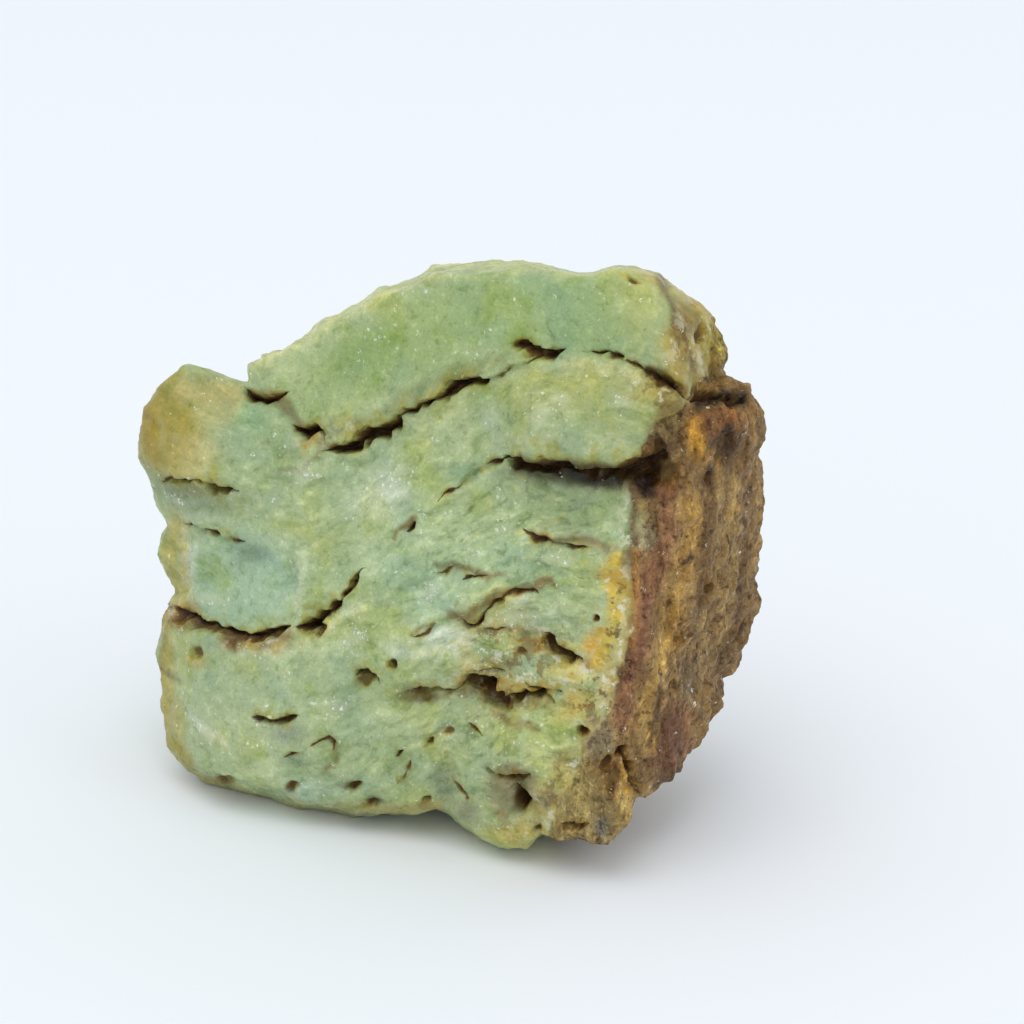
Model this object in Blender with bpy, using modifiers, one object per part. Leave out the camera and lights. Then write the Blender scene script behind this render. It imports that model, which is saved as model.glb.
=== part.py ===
"""Fluorite specimen: one loose, rough piece of massive pale green mineral with a brown weathered side.

Front is -Y, the weathered side is +X, up is +Z. The origin is the middle of the bottom of the box
round the piece. Lengths in this file are millimetres until the mesh is made in metres.

The shape is made in four steps, each a function below:
  body     a ball pushed out to a rounded block that is bounded by flat broken faces
  outline  the block is drawn out until its rim, seen from the drawing side, follows OUTLINE
  relief   layers, ledges, cracks, hollows and lumps are set into the side that faces the drawing side
  grain    the roughness of the broken and of the weathered faces
"""
import math

import bpy
import bmesh
import numpy as np

# ---------------------------------------------------------------- driving dimensions
NAME = "fluorite specimen"
MM = 0.001
SEED = 41
BALL_STEPS = 3              # times that the triangles of the first ball are divided in four
SOFT_LEVEL = 1              # division of the ball that the soft normals are taken from
CELL = 0.30                 # size of the even cells the solid is rebuilt with
TRIANGLES = 9300            # triangles left in the solid
SOLE_SHARE = 0.030          # share of the points that is worn flat where the piece rests
SOLE_DEPTH = 0.12           # what lies this near the ground is ground flat
LEAST_CRACK = 0.28          # narrowest half width that a crack is cut with

# The drawing side: where the outline and the relief are drawn from.
TURN = math.radians(27.0)   # turned from the front towards the weathered side
LIFT = math.radians(22.0)   # raised above the ground
STAND = 320.0               # distance of the drawing side from the origin
AIM = (4.65, 19.05)         # point of the drawing plane that is looked at squarely

HEART = (0.0, 0.0, 18.5)    # the middle that the faces are measured from
RIM_STEPS = 360             # steps of angle that the rim is compared at
RIM_DEPTH = 6.0             # how far behind the rim its notches run out
EDGE_POWER = 20.0           # how crisp the edges between faces are

# Broken faces: turned from the front towards the weathered side, raised, distance from the heart.
FACES = (
    (-4.0, 12.0, 9.8),       # front, leaning back
    (3.0, 1.0, 11.1),        # front, lower part
    (-26.0, 4.0, 14.4),      # front, turned to the left
    (-52.0, 2.0, 20.6),      # front left corner
    (-89.0, -3.0, 23.3),     # left end
    (46.0, -4.0, 22.0),      # front right corner
    (88.0, -5.0, 21.6),      # weathered side
    (112.0, 2.0, 22.8),      # weathered side, turned to the back
    (138.0, 6.0, 21.6),      # back right corner
    (172.0, 8.0, 11.9),      # back
    (-171.0, -12.0, 11.8),   # back, lower part
    (-154.0, 6.0, 15.2),     # back, turned to the left
    (-122.0, 4.0, 21.4),     # back left corner
    (0.0, 80.0, 24.6),       # top of the ridge
    (178.0, 58.0, 20.0),     # long slope behind the ridge
    (-84.0, 57.0, 20.2),     # slope down to the left
    (-94.0, 22.0, 25.0),     # end of the left knob
    (105.0, 46.0, 26.4),     # slope down to the right
    (125.0, -50.0, 23.4),    # undercut below the weathered side
    (-88.0, -48.0, 27.4),    # rounding under the left end
    (0.0, -46.0, 21.2),      # rounding under the front
    (180.0, -42.0, 19.6),    # rounding under the back
    (8.0, -62.0, 20.4),      # low slope under the front edge
    (-56.0, -87.0, 21.4),    # underside
)

CHIPS = 110                 # small flat breaks on the rear, the ends and the underside
CHIP_DEPTH = (0.4, 1.9)     # how far a break goes in from the rounded block

# Rim of the piece on the drawing plane, clockwise from the left knob: across, up.
OUTLINE = (
    (-19.9, 30.2), (-18.7, 29.9), (-17.2, 29.4), (-15.9, 29.1), (-15.3, 30.2), (-14.2, 30.7),
    (-12.6, 31.4), (-11.2, 32.1), (-9.8, 33.4), (-8.2, 34.1), (-6.8, 34.9), (-5.4, 35.9),
    (-3.8, 36.3), (-2.2, 37.0), (-1.2, 37.6), (2.2, 37.9), (4.6, 38.0), (6.8, 37.8),
    (8.4, 37.4), (10.0, 37.2), (11.2, 37.3), (12.4, 37.7), (14.2, 37.6), (15.8, 37.1),
    (17.0, 36.1), (18.2, 35.2), (19.4, 34.3), (20.2, 33.0), (20.8, 31.0), (20.9, 29.8),
    (22.1, 28.9), (23.0, 27.5), (23.5, 26.5), (23.7, 24.8), (23.4, 22.9), (23.6, 21.4),
    (23.5, 18.4), (23.3, 15.6), (23.1, 12.9), (23.3, 12.0), (22.6, 10.2), (21.8, 7.8),
    (20.9, 6.4), (20.7, 5.3), (19.9, 3.6), (18.9, 1.9), (17.9, 0.7), (17.3, -0.4),
    (16.3, -1.3), (15.3, -2.2), (14.0, -2.6), (13.6, -4.0), (12.8, -5.2), (11.6, -6.0),
    (10.1, -5.7), (8.2, -5.8), (7.0, -5.5), (6.0, -6.1), (4.2, -6.3), (2.6, -5.8),
    (1.2, -4.9), (0.0, -3.9), (-0.9, -3.5), (-3.0, -3.7), (-5.2, -3.7), (-7.2, -4.0),
    (-9.0, -3.7), (-11.4, -3.5), (-13.4, -2.7), (-15.6, -2.2), (-18.6, -1.3), (-20.2, 0.2),
    (-21.3, 1.6), (-21.7, 4.4), (-21.8, 7.0), (-22.1, 8.6), (-21.7, 10.6), (-21.3, 12.2),
    (-20.8, 13.0), (-21.4, 14.4), (-21.9, 15.9), (-21.7, 17.4), (-21.4, 18.2), (-22.1, 19.4),
    (-22.6, 21.2), (-22.8, 21.9), (-23.4, 23.1), (-23.4, 24.8), (-23.0, 26.6), (-22.2, 28.0),
    (-21.2, 29.2),
)

# Lumps and broad hollows: across, up, half length, half width, turned by, height, flatness of top.
LUMPS = (
    (6.5, -2.5, 6.0, 4.0, -10.0, 1.5, 3.0),      # foot
    (12.8, -2.4, 1.5, 2.8, 0.0, 1.3, 3.0),       # ochre lump at the right of the foot
    (10.9, 2.0, 1.4, 2.0, -10.0, 0.8, 3.0),      # smooth lump above it
    (5.2, -2.4, 2.9, 2.1, -10.0, -1.0, 2.0),     # hollow in the foot
    (6.9, -2.0, 1.2, 0.7, -10.0, 0.7, 2.0),      # grey bead in the hollow
    (7.1, 3.1, 4.2, 1.7, 6.0, 0.7, 2.0),         # bright swell above the foot
    (-2.0, 13.0, 9.0, 7.5, 20.0, 0.9, 2.0),      # swell of the middle
    (-21.0, 25.4, 3.2, 3.8, 10.0, 1.0, 3.0),     # left knob
    (-14.6, 3.2, 7.4, 5.8, -8.0, 1.3, 3.0),      # lower left block
    (-15.5, 13.8, 4.2, 4.4, -5.0, -1.0, 5.0),    # smooth hollow face on the left
    (-18.2, 19.6, 3.4, 1.1, -4.0, -0.7, 2.0),    # hollow shelf under the knob
    (5.0, 33.0, 11.0, 4.0, -4.0, -0.7, 3.0),     # dished face of the cap
    (-8.0, 28.0, 7.0, 3.6, 30.0, -0.3, 3.0),     # left part of the cap
    (8.0, 26.4, 8.0, 2.6, -4.0, 1.3, 3.0),       # second layer
    (14.4, 26.0, 2.6, 2.2, -20.0, 0.4, 3.0),     # right end of the second layer
    (16.4, 27.6, 1.4, 0.9, 0.0, 0.6, 3.0),       # last lump of the second layer
    (7.6, 19.6, 6.6, 2.8, 0.0, -1.6, 3.0),       # below the second crack
    (-1.9, 5.5, 1.9, 0.7, 0.0, -0.7, 2.0),       # soft brown hollow
    (4.9, 5.9, 1.0, 0.4, 10.0, 0.6, 2.0),        # light lens in the cavity
    (3.1, 5.4, 2.6, 1.1, -8.0, -0.8, 2.0),       # cavity round it
    (8.9, 6.9, 1.7, 0.8, -15.0, 0.5, 2.0),       # beige swell beside the cavity
    (4.4, 12.4, 1.7, 0.9, 22.0, 0.6, 3.0),       # light facet
    (7.2, 9.4, 1.7, 1.1, -40.0, -0.6, 2.0),      # hollow round the dark hole
    (-10.1, 1.2, 1.0, 0.9, 20.0, 0.45, 3.0),     # lozenge in the lower left
    (-12.4, 2.2, 1.5, 0.7, 0.0, -0.4, 2.0),      # dip under the lower left crack
    (-6.9, 14.6, 2.4, 1.6, 35.0, -0.3, 2.0),     # pinkish hollow
    (-4.8, 20.8, 2.2, 1.3, 40.0, 0.4, 2.0),      # bright rise in the middle
    (-14.4, 25.7, 1.7, 1.5, 0.0, -0.3, 2.0),     # dip beside the knob
    (2.2, 17.8, 2.6, 1.0, 15.0, 0.35, 2.0),
    (-9.2, 8.3, 3.4, 1.2, 15.0, 0.4, 2.0),
    (-0.6, 0.2, 1.6, 2.2, 15.0, -0.5, 2.0),      # dip beside the foot
    (19.6, 25.0, 2.6, 2.8, 0.0, 0.7, 3.0),       # top of the weathered block
    (17.2, 31.6, 3.0, 4.6, 0.0, 0.4, 3.0),       # right end of the cap
    (15.4, 21.4, 1.5, 1.2, 0.0, -0.8, 2.0),      # dark hollow on the border
    (20.3, 23.6, 1.2, 1.5, 0.0, -0.6, 2.0),      # hollow below the top of the weathered block
    (16.0, 13.0, 0.9, 8.6, 8.0, -0.7, 3.0),      # mauve hollow band down the weathered side
    (17.7, 12.0, 0.8, 8.0, 8.0, 0.4, 2.0),       # ridge beside it
    (21.0, 14.0, 2.6, 6.5, 6.0, 0.5, 2.0),       # swell of the weathered side
)

# Small ledges: height, how far it fades out, points across and up. The side on the left of the way
# from point to point stands out.
LEDGES = (
    (0.7, 1.6, ((-11.2, 16.6), (-11.3, 14.7), (-11.5, 12.4), (-11.3, 10.9))),
    (0.5, 0.9, ((-19.5, 16.8), (-19.5, 12.4), (-18.9, 11.2))),
    (0.5, 1.0, ((15.9, 36.2), (16.6, 33.8), (17.5, 31.6), (18.0, 29.9))),
    (0.4, 1.4, ((-13.8, 22.2), (-10.6, 22.6), (-8.6, 23.6))),
    (0.5, 1.6, ((-5.2, 16.8), (-2.4, 18.6), (0.6, 20.4))),
    (0.5, 1.3, ((-4.4, 6.3), (-1.6, 6.7), (1.4, 7.2), (4.2, 7.4))),
    (0.4, 1.2, ((2.2, 14.8), (5.2, 15.6), (9.4, 14.6), (12.4, 14.4))),
    (0.4, 1.2, ((-2.6, 9.2), (0.6, 9.8), (3.8, 9.2))),
    (0.4, 1.4, ((-8.4, 1.4), (-5.4, 2.2), (-0.6, 2.4))),
    (0.4, 1.0, ((-6.6, 12.2), (-4.0, 13.4), (-1.4, 13.6))),
    (0.5, 0.8, ((14.2, 19.0), (14.2, 13.0), (12.8, 6.0), (11.9, 4.0))),
    (0.5, 0.8, ((17.4, 7.0), (16.4, 3.4), (15.6, 0.4))),
    (0.4, 1.0, ((-18.2, 9.2), (-14.0, 8.2), (-11.0, 9.0))),
)

# How rough the green face is: across, up, half length, half width, turned by, roughness.
ROUGHNESS = (
    (-3.8, 31.6, 10.5, 3.6, 27.0, 0.16),         # cap, left part
    (8.2, 34.0, 9.5, 4.2, 0.0, 0.16),            # cap, right part
    (-15.5, 13.7, 4.0, 4.3, 0.0, 0.12),          # smooth face
    (-17.5, 19.5, 4.6, 1.2, 0.0, 0.20),          # shelf under the knob
    (-20.5, 25.0, 3.2, 4.5, 0.0, 0.45),          # knob
    (5.5, 13.5, 8.0, 8.0, 0.0, 0.95),            # right of the middle
    (5.5, 3.0, 8.0, 6.5, 0.0, 1.0),              # cavity and foot
    (-15.5, 5.0, 6.0, 5.2, 0.0, 0.30),           # lower left block
)

# Cracks: depth, how far the upper side stands out, points across and up with the half width there.
CRACKS = (
    (1.5, 0.6, (  # under the cap
        (-9.6, 23.6, 0.11), (-8.2, 23.9, 0.22), (-7.5, 24.2, 0.30), (-6.9, 24.8, 0.38),
        (-6.3, 25.2, 0.45), (-5.2, 25.4, 0.45), (-4.3, 25.6, 0.30), (-3.8, 26.2, 0.14),
        (-3.1, 26.8, 0.22), (-2.6, 26.9, 0.22), (-1.9, 27.4, 0.17), (-1.3, 27.6, 0.21),
        (-0.8, 27.8, 0.30), (-0.4, 28.3, 0.38), (0.4, 28.9, 0.38), (1.1, 29.2, 0.30),
        (1.9, 29.2, 0.30), (2.8, 29.2, 0.15), (3.8, 29.5, 0.11), (4.5, 30.1, 0.11),
        (6.0, 30.4, 0.09), (7.1, 30.8, 0.09),
    )),
    (1.3, -0.4, (  # above the second layer
        (4.5, 31.7, 0.11), (5.0, 31.7, 0.22), (5.6, 31.6, 0.26), (6.2, 31.3, 0.30),
        (6.8, 31.0, 0.30), (7.6, 30.8, 0.30), (8.4, 31.1, 0.19), (8.8, 31.4, 0.09),
    )),
    (1.5, -0.4, (  # right end of the cap
        (9.3, 31.0, 0.07), (10.5, 31.0, 0.11), (11.2, 30.9, 0.15), (11.8, 30.8, 0.19),
        (13.1, 30.3, 0.15), (14.2, 30.1, 0.19), (15.0, 29.5, 0.30), (15.8, 29.2, 0.45),
        (16.6, 28.9, 0.45), (17.4, 28.5, 0.38), (18.0, 27.8, 0.22),
    )),
    (2.0, -0.6, (  # top of the weathered block
        (18.3, 27.5, 0.30), (19.2, 27.8, 0.45), (20.2, 28.0, 0.45), (21.2, 27.8, 0.42),
        (22.2, 27.5, 0.34),
    )),
    (1.4, 0.5, (  # behind the knob
        (-15.9, 28.9, 0.15), (-15.3, 28.1, 0.22), (-14.1, 27.8, 0.26), (-13.3, 28.2, 0.22),
        (-12.2, 28.3, 0.15),
    )),
    (1.4, 0.4, (  # below the left of the cap
        (-12.0, 25.6, 0.22), (-11.0, 25.2, 0.41), (-10.3, 25.4, 0.38), (-9.8, 25.2, 0.30),
        (-9.6, 24.4, 0.19),
    )),
    (1.4, 0.6, (  # under the knob
        (-21.9, 21.5, 0.15), (-20.6, 21.5, 0.22), (-19.5, 21.6, 0.15), (-18.4, 21.6, 0.22),
        (-17.6, 21.3, 0.41), (-16.8, 21.0, 0.30), (-15.9, 20.5, 0.11),
    )),
    (0.9, 0.3, (  # above the smooth face
        (-20.6, 18.2, 0.11), (-19.5, 18.0, 0.15), (-18.4, 17.7, 0.19), (-17.5, 17.4, 0.22),
        (-16.9, 17.1, 0.22), (-16.3, 16.9, 0.19), (-15.5, 16.9, 0.11),
    )),
    (1.1, -0.6, (  # under the smooth face
        (-21.5, 12.3, 0.15), (-20.4, 11.4, 0.30), (-19.5, 10.8, 0.38), (-18.8, 10.6, 0.38),
        (-17.8, 10.5, 0.30), (-16.9, 10.0, 0.30), (-16.1, 9.7, 0.38), (-15.4, 9.5, 0.45),
        (-14.4, 9.5, 0.45), (-13.7, 9.8, 0.38), (-12.8, 10.2, 0.30), (-12.0, 10.5, 0.22),
    )),
    (1.2, -0.2, (  # right of the smooth face
        (-11.5, 10.4, 0.22), (-10.9, 10.3, 0.38), (-10.3, 10.7, 0.53), (-9.9, 11.1, 0.38),
        (-9.4, 11.5, 0.30), (-8.8, 11.9, 0.38), (-8.2, 12.3, 0.30), (-7.7, 13.2, 0.22),
        (-7.3, 13.9, 0.19), (-6.9, 14.5, 0.11), (-6.3, 15.0, 0.07),
    )),
    (1.6, 1.3, (  # under the second layer
        (4.1, 23.0, 0.30), (4.9, 22.9, 0.45), (5.6, 23.1, 0.45), (6.5, 22.9, 0.53),
        (7.3, 23.2, 0.60), (8.2, 23.1, 0.66), (9.2, 22.8, 0.72), (10.0, 22.5, 0.66),
        (10.9, 22.5, 0.55), (12.0, 22.5, 0.60), (13.1, 22.4, 0.75), (14.2, 22.6, 0.85),
        (15.0, 22.9, 0.60), (16.4, 23.3, 0.40),
    )),
    (0.8, 0.2, (  # its thin end
        (-0.9, 19.9, 0.09), (-0.2, 20.5, 0.11), (0.4, 20.9, 0.15), (1.1, 21.6, 0.15),
        (1.9, 22.2, 0.14), (2.5, 22.6, 0.15), (3.4, 22.9, 0.15), (4.1, 23.0, 0.22),
    )),
    (0.9, 0.3, (  # brown dashes
        (5.5, 17.7, 0.15), (6.4, 17.3, 0.30), (7.1, 17.1, 0.30), (7.9, 16.9, 0.22),
        (8.8, 16.7, 0.19), (9.8, 16.5, 0.22), (10.7, 16.3, 0.26), (11.5, 16.1, 0.22),
        (12.0, 15.9, 0.07),
    )),
    (0.8, 0.2, (  # curl
        (0.1, 11.8, 0.11), (0.8, 11.2, 0.17), (1.5, 10.9, 0.19), (2.2, 10.9, 0.15),
        (2.9, 11.8, 0.15), (3.4, 12.3, 0.17), (4.1, 12.7, 0.19), (4.9, 13.2, 0.19),
        (5.6, 13.3, 0.15), (6.2, 13.3, 0.15), (6.8, 13.0, 0.09),
    )),
    (1.5, 0.2, (  # dark hole
        (7.1, 10.2, 0.22), (7.5, 9.6, 0.45), (8.0, 9.0, 0.53), (8.5, 8.5, 0.45), (9.2, 8.2, 0.38),
        (9.9, 7.9, 0.22),
    )),
    (0.9, 0.3, (  # crescent
        (-7.3, 6.6, 0.10), (-6.8, 7.2, 0.17), (-6.1, 7.4, 0.20), (-5.5, 7.0, 0.22),
        (-5.2, 6.3, 0.12),
    )),
    (1.4, 0.5, (  # brown cavity
        (-3.4, 5.7, 0.22), (-2.2, 6.0, 0.30), (-0.8, 5.9, 0.30), (0.6, 6.1, 0.22), (1.3, 6.6, 0.30),
        (2.2, 6.5, 0.45), (2.9, 5.9, 0.53), (3.5, 5.5, 0.45), (4.2, 5.2, 0.30), (5.1, 5.5, 0.30),
        (6.0, 5.7, 0.34), (7.1, 5.5, 0.38), (7.7, 5.0, 0.22),
    )),
    (0.8, 0.2, (  # beside the cavity
        (1.9, 7.0, 0.15), (3.0, 7.3, 0.19), (4.1, 7.0, 0.15),
    )),
    (0.8, 0.2, (  # beside the cavity
        (5.8, 6.5, 0.15), (7.1, 6.1, 0.22), (8.4, 5.5, 0.11),
    )),
    (0.9, 0.3, (  # lower left
        (-15.2, 3.5, 0.09), (-14.4, 3.65, 0.20), (-13.4, 3.55, 0.20), (-12.4, 3.6, 0.18),
        (-11.5, 3.7, 0.16), (-10.8, 3.6, 0.09),
    )),
    (0.5, 0.2, (  # lower left hook
        (-13.0, 0.5, 0.06), (-12.4, 0.8, 0.12), (-11.8, 1.2, 0.12), (-11.1, 1.3, 0.08),
        (-10.4, 1.7, 0.08), (-9.8, 2.0, 0.12), (-9.0, 2.1, 0.12), (-8.5, 1.8, 0.12),
        (-8.6, 1.1, 0.07),
    )),
    (1.2, 0.5, (  # foot hollow
        (2.6, -0.3, 0.22), (3.8, -0.4, 0.30), (4.9, -0.5, 0.30), (6.0, -0.7, 0.22),
    )),
    (2.0, 0.0, (  # foot hole
        (4.9, -1.5, 0.22), (5.3, -2.2, 0.45), (5.5, -3.0, 0.45), (5.2, -3.6, 0.22),
    )),
    (1.2, 0.2, (  # foot slot
        (8.7, -4.5, 0.15), (9.4, -4.3, 0.30), (10.0, -4.3, 0.15),
    )),
    (0.8, 0.0, (  # left of the foot
        (-0.5, 0.2, 0.15), (-0.1, -0.5, 0.22), (0.2, -1.3, 0.22), (0.8, -2.0, 0.22),
        (1.2, -2.8, 0.22), (1.5, -3.7, 0.15),
    )),
    (1.4, 0.3, (  # right of the foot
        (14.1, -2.5, 0.30), (13.7, -1.4, 0.30), (13.3, -0.3, 0.30), (12.9, 0.8, 0.22),
    )),
)

# Pits: across, up, half length, half width, turned by, depth.
PITS = (
    (-10.5, 10.5, 0.60, 0.45, 0.0, 1.2),
    (-4.1, 7.9, 0.35, 0.35, 0.0, 0.8),
    (2.6, 6.1, 0.80, 0.45, 0.0, 0.9),
    (5.2, 8.5, 0.40, 0.30, 0.0, 0.6),
    (10.9, 11.1, 0.30, 0.30, 0.0, 0.6),
    (9.9, 2.7, 0.42, 0.40, 0.0, 1.0),
    (5.3, -2.6, 0.60, 0.65, 0.0, 1.6),
    (6.7, -4.8, 0.35, 0.30, 0.0, 0.6),
    (9.4, -4.4, 0.75, 0.30, 10.0, 1.0),
    (-7.2, -1.5, 0.50, 0.30, 20.0, 0.8),
    (-5.8, -2.8, 0.50, 0.40, 0.0, 0.8),
    (-11.9, -1.7, 0.45, 0.30, 20.0, 0.6),
    (15.8, 21.9, 1.60, 0.90, -8.0, 0.9),
    (15.9, 23.8, 0.30, 0.70, 0.0, 0.7),
    (19.7, 21.7, 0.40, 0.75, 0.0, 0.7),
    (20.9, 24.4, 0.80, 0.60, 40.0, 0.6),
    (20.3, 23.3, 0.40, 0.70, -20.0, 0.6),
    (11.8, 0.3, 0.40, 0.60, 0.0, 0.8),
    (12.9, 1.1, 0.60, 0.35, 50.0, 0.8),
    (18.8, 32.5, 0.35, 0.55, 0.0, 0.6),
    (19.6, 13.3, 0.50, 0.60, 0.0, 0.6),
)

# Border between the green face and the weathered side on the drawing plane: up, across.
BORDER = (
    (-8.0, 7.2), (-4.0, 7.8), (-1.5, 8.8), (1.0, 10.2), (3.0, 11.2), (5.0, 12.0), (10.0, 13.6),
    (21.0, 13.8), (23.0, 14.2), (25.2, 15.2), (26.6, 16.8), (28.0, 18.2), (30.0, 19.2), (38.0, 20.0),
)

STONE_COLOR = (0.36, 0.47, 0.27, 1.0)


# ---------------------------------------------------------------- plain helpers
def unit(turn, lift):
    """Direction turned from the front towards the weathered side and raised."""
    return np.array((math.sin(turn) * math.cos(lift), -math.cos(turn) * math.cos(lift), math.sin(lift)))


TOWARD = unit(TURN, LIFT)
ACROSS = np.array((math.cos(TURN), math.sin(TURN), 0.0))
UP = np.cross(TOWARD, ACROSS)
CENTRES = (np.arange(RIM_STEPS) + 0.5) / RIM_STEPS * 2.0 * math.pi - math.pi


def ease(low, high, value):
    """Smooth step from 0 at low to 1 at high."""
    t = np.clip((value - low) / (high - low), 0.0, 1.0)
    return t * t * (3.0 - 2.0 * t)


def on_drawing(points):
    """Across and up of points on the drawing plane, and the size of a millimetre there."""
    zoom = STAND / (STAND - points @ TOWARD)
    across = AIM[0] + (points @ ACROSS - AIM[0]) * zoom
    up = AIM[1] + (points @ UP - AIM[1]) * zoom
    return across, up, zoom


def noise(points, size, seed):
    """Smooth random value from about -1 to 1 that changes over the given size."""
    rng = np.random.RandomState(seed)
    table = rng.permutation(256)
    arrows = rng.normal(size=(256, 3))
    arrows /= np.linalg.norm(arrows, axis=1)[:, None]
    scaled = points / size + rng.uniform(0.0, 99.0, 3)
    cell = np.floor(scaled).astype(np.int64)
    part = scaled - cell
    fade = part * part * part * (part * (part * 6.0 - 15.0) + 10.0)
    total = np.zeros(len(points))
    for corner in range(8):
        step = np.array((corner & 1, corner >> 1 & 1, corner >> 2 & 1))
        at = (cell + step) & 255
        pick = table[(table[(table[at[:, 0]] + at[:, 1]) & 255] + at[:, 2]) & 255]
        share = np.prod(np.where(step == 1, fade, 1.0 - fade), axis=1)
        total += share * np.sum(arrows[pick] * (part - step), axis=1)
    return total * 1.6


def ellipse_distance(across, up, at_across, at_up, long_half, short_half, turned):
    """1 on the rim of a turned ellipse, 0 at its middle."""
    c = math.cos(math.radians(turned))
    s = math.sin(math.radians(turned))
    dx = across - at_across
    dy = up - at_up
    return np.hypot((dx * c + dy * s) / long_half, (dy * c - dx * s) / short_half)


def line_distance(across, up, line):
    """Distance to a line of points, which side of it (above is positive), the line's own half width
    there, and two shares that fall to 0 at its ends, the second one more gently."""
    best = np.full(len(across), 1e9)
    side = np.zeros(len(across))
    half = np.zeros(len(across))
    along = np.zeros(len(across))
    run = 0.0
    for start, stop in zip(line[:-1], line[1:]):
        dx = stop[0] - start[0]
        dy = stop[1] - start[1]
        length = math.hypot(dx, dy)
        t = np.clip(((across - start[0]) * dx + (up - start[1]) * dy) / length ** 2, 0.0, 1.0)
        gap = np.hypot(across - start[0] - t * dx, up - start[1] - t * dy)
        nearer = gap < best
        best = np.where(nearer, gap, best)
        side = np.where(nearer, (dx * (up - start[1]) - dy * (across - start[0])) / length, side)
        along = np.where(nearer, run + t * length, along)
        if len(start) > 2:
            half = np.where(nearer, start[2] + t * (stop[2] - start[2]), half)
        run += length
    along = np.minimum(along, run - along)
    taper = ease(0.0, min(0.9, 0.3 * run), along)
    return best, side, half, taper, ease(0.0, min(2.5, 0.3 * run), along)


def vertex_normals(points, faces):
    """Unit normals at the points of a mesh of triangles."""
    a = points[faces[:, 0]]
    cross = np.cross(points[faces[:, 1]] - a, points[faces[:, 2]] - a)
    total = np.zeros_like(points)
    for k in range(3):
        for axis in range(3):
            total[:, axis] += np.bincount(faces[:, k], weights=cross[:, axis], minlength=len(points))
    return total / np.linalg.norm(total, axis=1)[:, None]


def spread(values, width, rule):
    """Rule, such as min or mean, over a window that moves round a closed list of values."""
    return rule([np.roll(values, shift) for shift in range(-width, width + 1)], axis=0)


# ---------------------------------------------------------------- shape
def ball(steps):
    """Directions, triangles and levels of a finely divided ball, denser towards the drawing side.

    A level holds the triangles so far and, for each of the points added next, the two it lies between.
    """
    mesh = bmesh.new()
    bmesh.ops.create_icosphere(mesh, subdivisions=4, radius=1.0)
    mesh.verts.ensure_lookup_table()
    points = np.array([v.co[:] for v in mesh.verts])
    faces = np.array([[v.index for v in f.verts] for f in mesh.faces])
    mesh.free()
    levels = []
    for _ in range(steps):
        edges = np.vstack((faces[:, (0, 1)], faces[:, (1, 2)], faces[:, (2, 0)]))
        edges.sort(axis=1)
        keys, back = np.unique(edges[:, 0] * len(points) + edges[:, 1], return_inverse=True)
        pairs = np.column_stack((keys // len(points), keys % len(points)))
        levels.append((faces, pairs))
        middle = points[pairs[:, 0]] + points[pairs[:, 1]]
        back = back.reshape(3, -1) + len(points)
        points = np.vstack((points, middle / np.linalg.norm(middle, axis=1)[:, None]))
        a, b, c = faces.T
        ab, bc, ca = back
        faces = np.vstack((np.column_stack((a, ab, ca)), np.column_stack((b, bc, ab)),
                           np.column_stack((c, ca, bc)), np.column_stack((ab, bc, ca))))
    points = points / np.linalg.norm(points, axis=1)[:, None] + 0.38 * TOWARD
    return points / np.linalg.norm(points, axis=1)[:, None], faces, levels


def soft_normals(points, levels):
    """Normals that turn gently over edges: taken from a coarse level and passed on to the finer ones."""
    faces = levels[SOFT_LEVEL][0]
    normals = vertex_normals(points[:faces.max() + 1], faces)
    for _, pairs in levels[SOFT_LEVEL:]:
        normals = np.vstack((normals, 0.5 * (normals[pairs[:, 0]] + normals[pairs[:, 1]])))
    return normals / np.linalg.norm(normals, axis=1)[:, None]


def body(directions):
    """Push the ball's directions out to the rounded block bounded by FACES."""
    total = np.zeros(len(directions))
    for turned, raised, distance in FACES:
        normal = unit(math.radians(turned), math.radians(raised))
        total += np.maximum(directions @ normal / distance, 0.0) ** EDGE_POWER
    reach = total ** (-1.0 / EDGE_POWER)

    rng = np.random.RandomState(SEED)
    block = directions * reach[:, None]
    for _ in range(CHIPS):
        normal = rng.normal(size=3)
        normal /= np.linalg.norm(normal)
        depth = rng.uniform(*CHIP_DEPTH)
        if normal @ TOWARD > 0.30 or normal[2] < -0.9:
            continue
        distance = (block @ normal).max() - depth
        limit = distance / np.maximum(directions @ normal, 1e-6)
        reach = np.where(directions @ normal > 0.0, np.minimum(reach, limit), reach)
    return np.array(HEART) + directions * reach[:, None]


def rim_of(points):
    """Where points lie round the heart on the drawing plane, and the rim of the piece there.

    Returns the angle and reach of each point, the rim's reach in each even step of angle, and how
    far behind the rim each point lies, as a share that grows from 0 at the rim to 1 well behind it.
    """
    across, up, _ = on_drawing(points)
    at_across, at_up, _ = on_drawing(np.array((HEART,)))
    dx = across - at_across[0]
    dy = up - at_up[0]
    angle = np.arctan2(dy, dx)
    reach = np.hypot(dx, dy)
    depth = points @ TOWARD
    slot = ((angle + math.pi) / (2.0 * math.pi) * RIM_STEPS).astype(int) % RIM_STEPS
    rim = np.zeros(RIM_STEPS)
    np.maximum.at(rim, slot, reach)
    outer = reach > 0.985 * rim[slot]
    count = np.bincount(slot[outer], minlength=RIM_STEPS)
    rim_depth = np.bincount(slot[outer], weights=depth[outer], minlength=RIM_STEPS) / np.maximum(count, 1)
    at_rim = np.interp(angle, CENTRES, spread(rim_depth, 8, np.mean), period=2.0 * math.pi)
    return angle, reach, spread(rim, 3, np.mean), ease(0.0, RIM_DEPTH, at_rim - depth)


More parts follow.
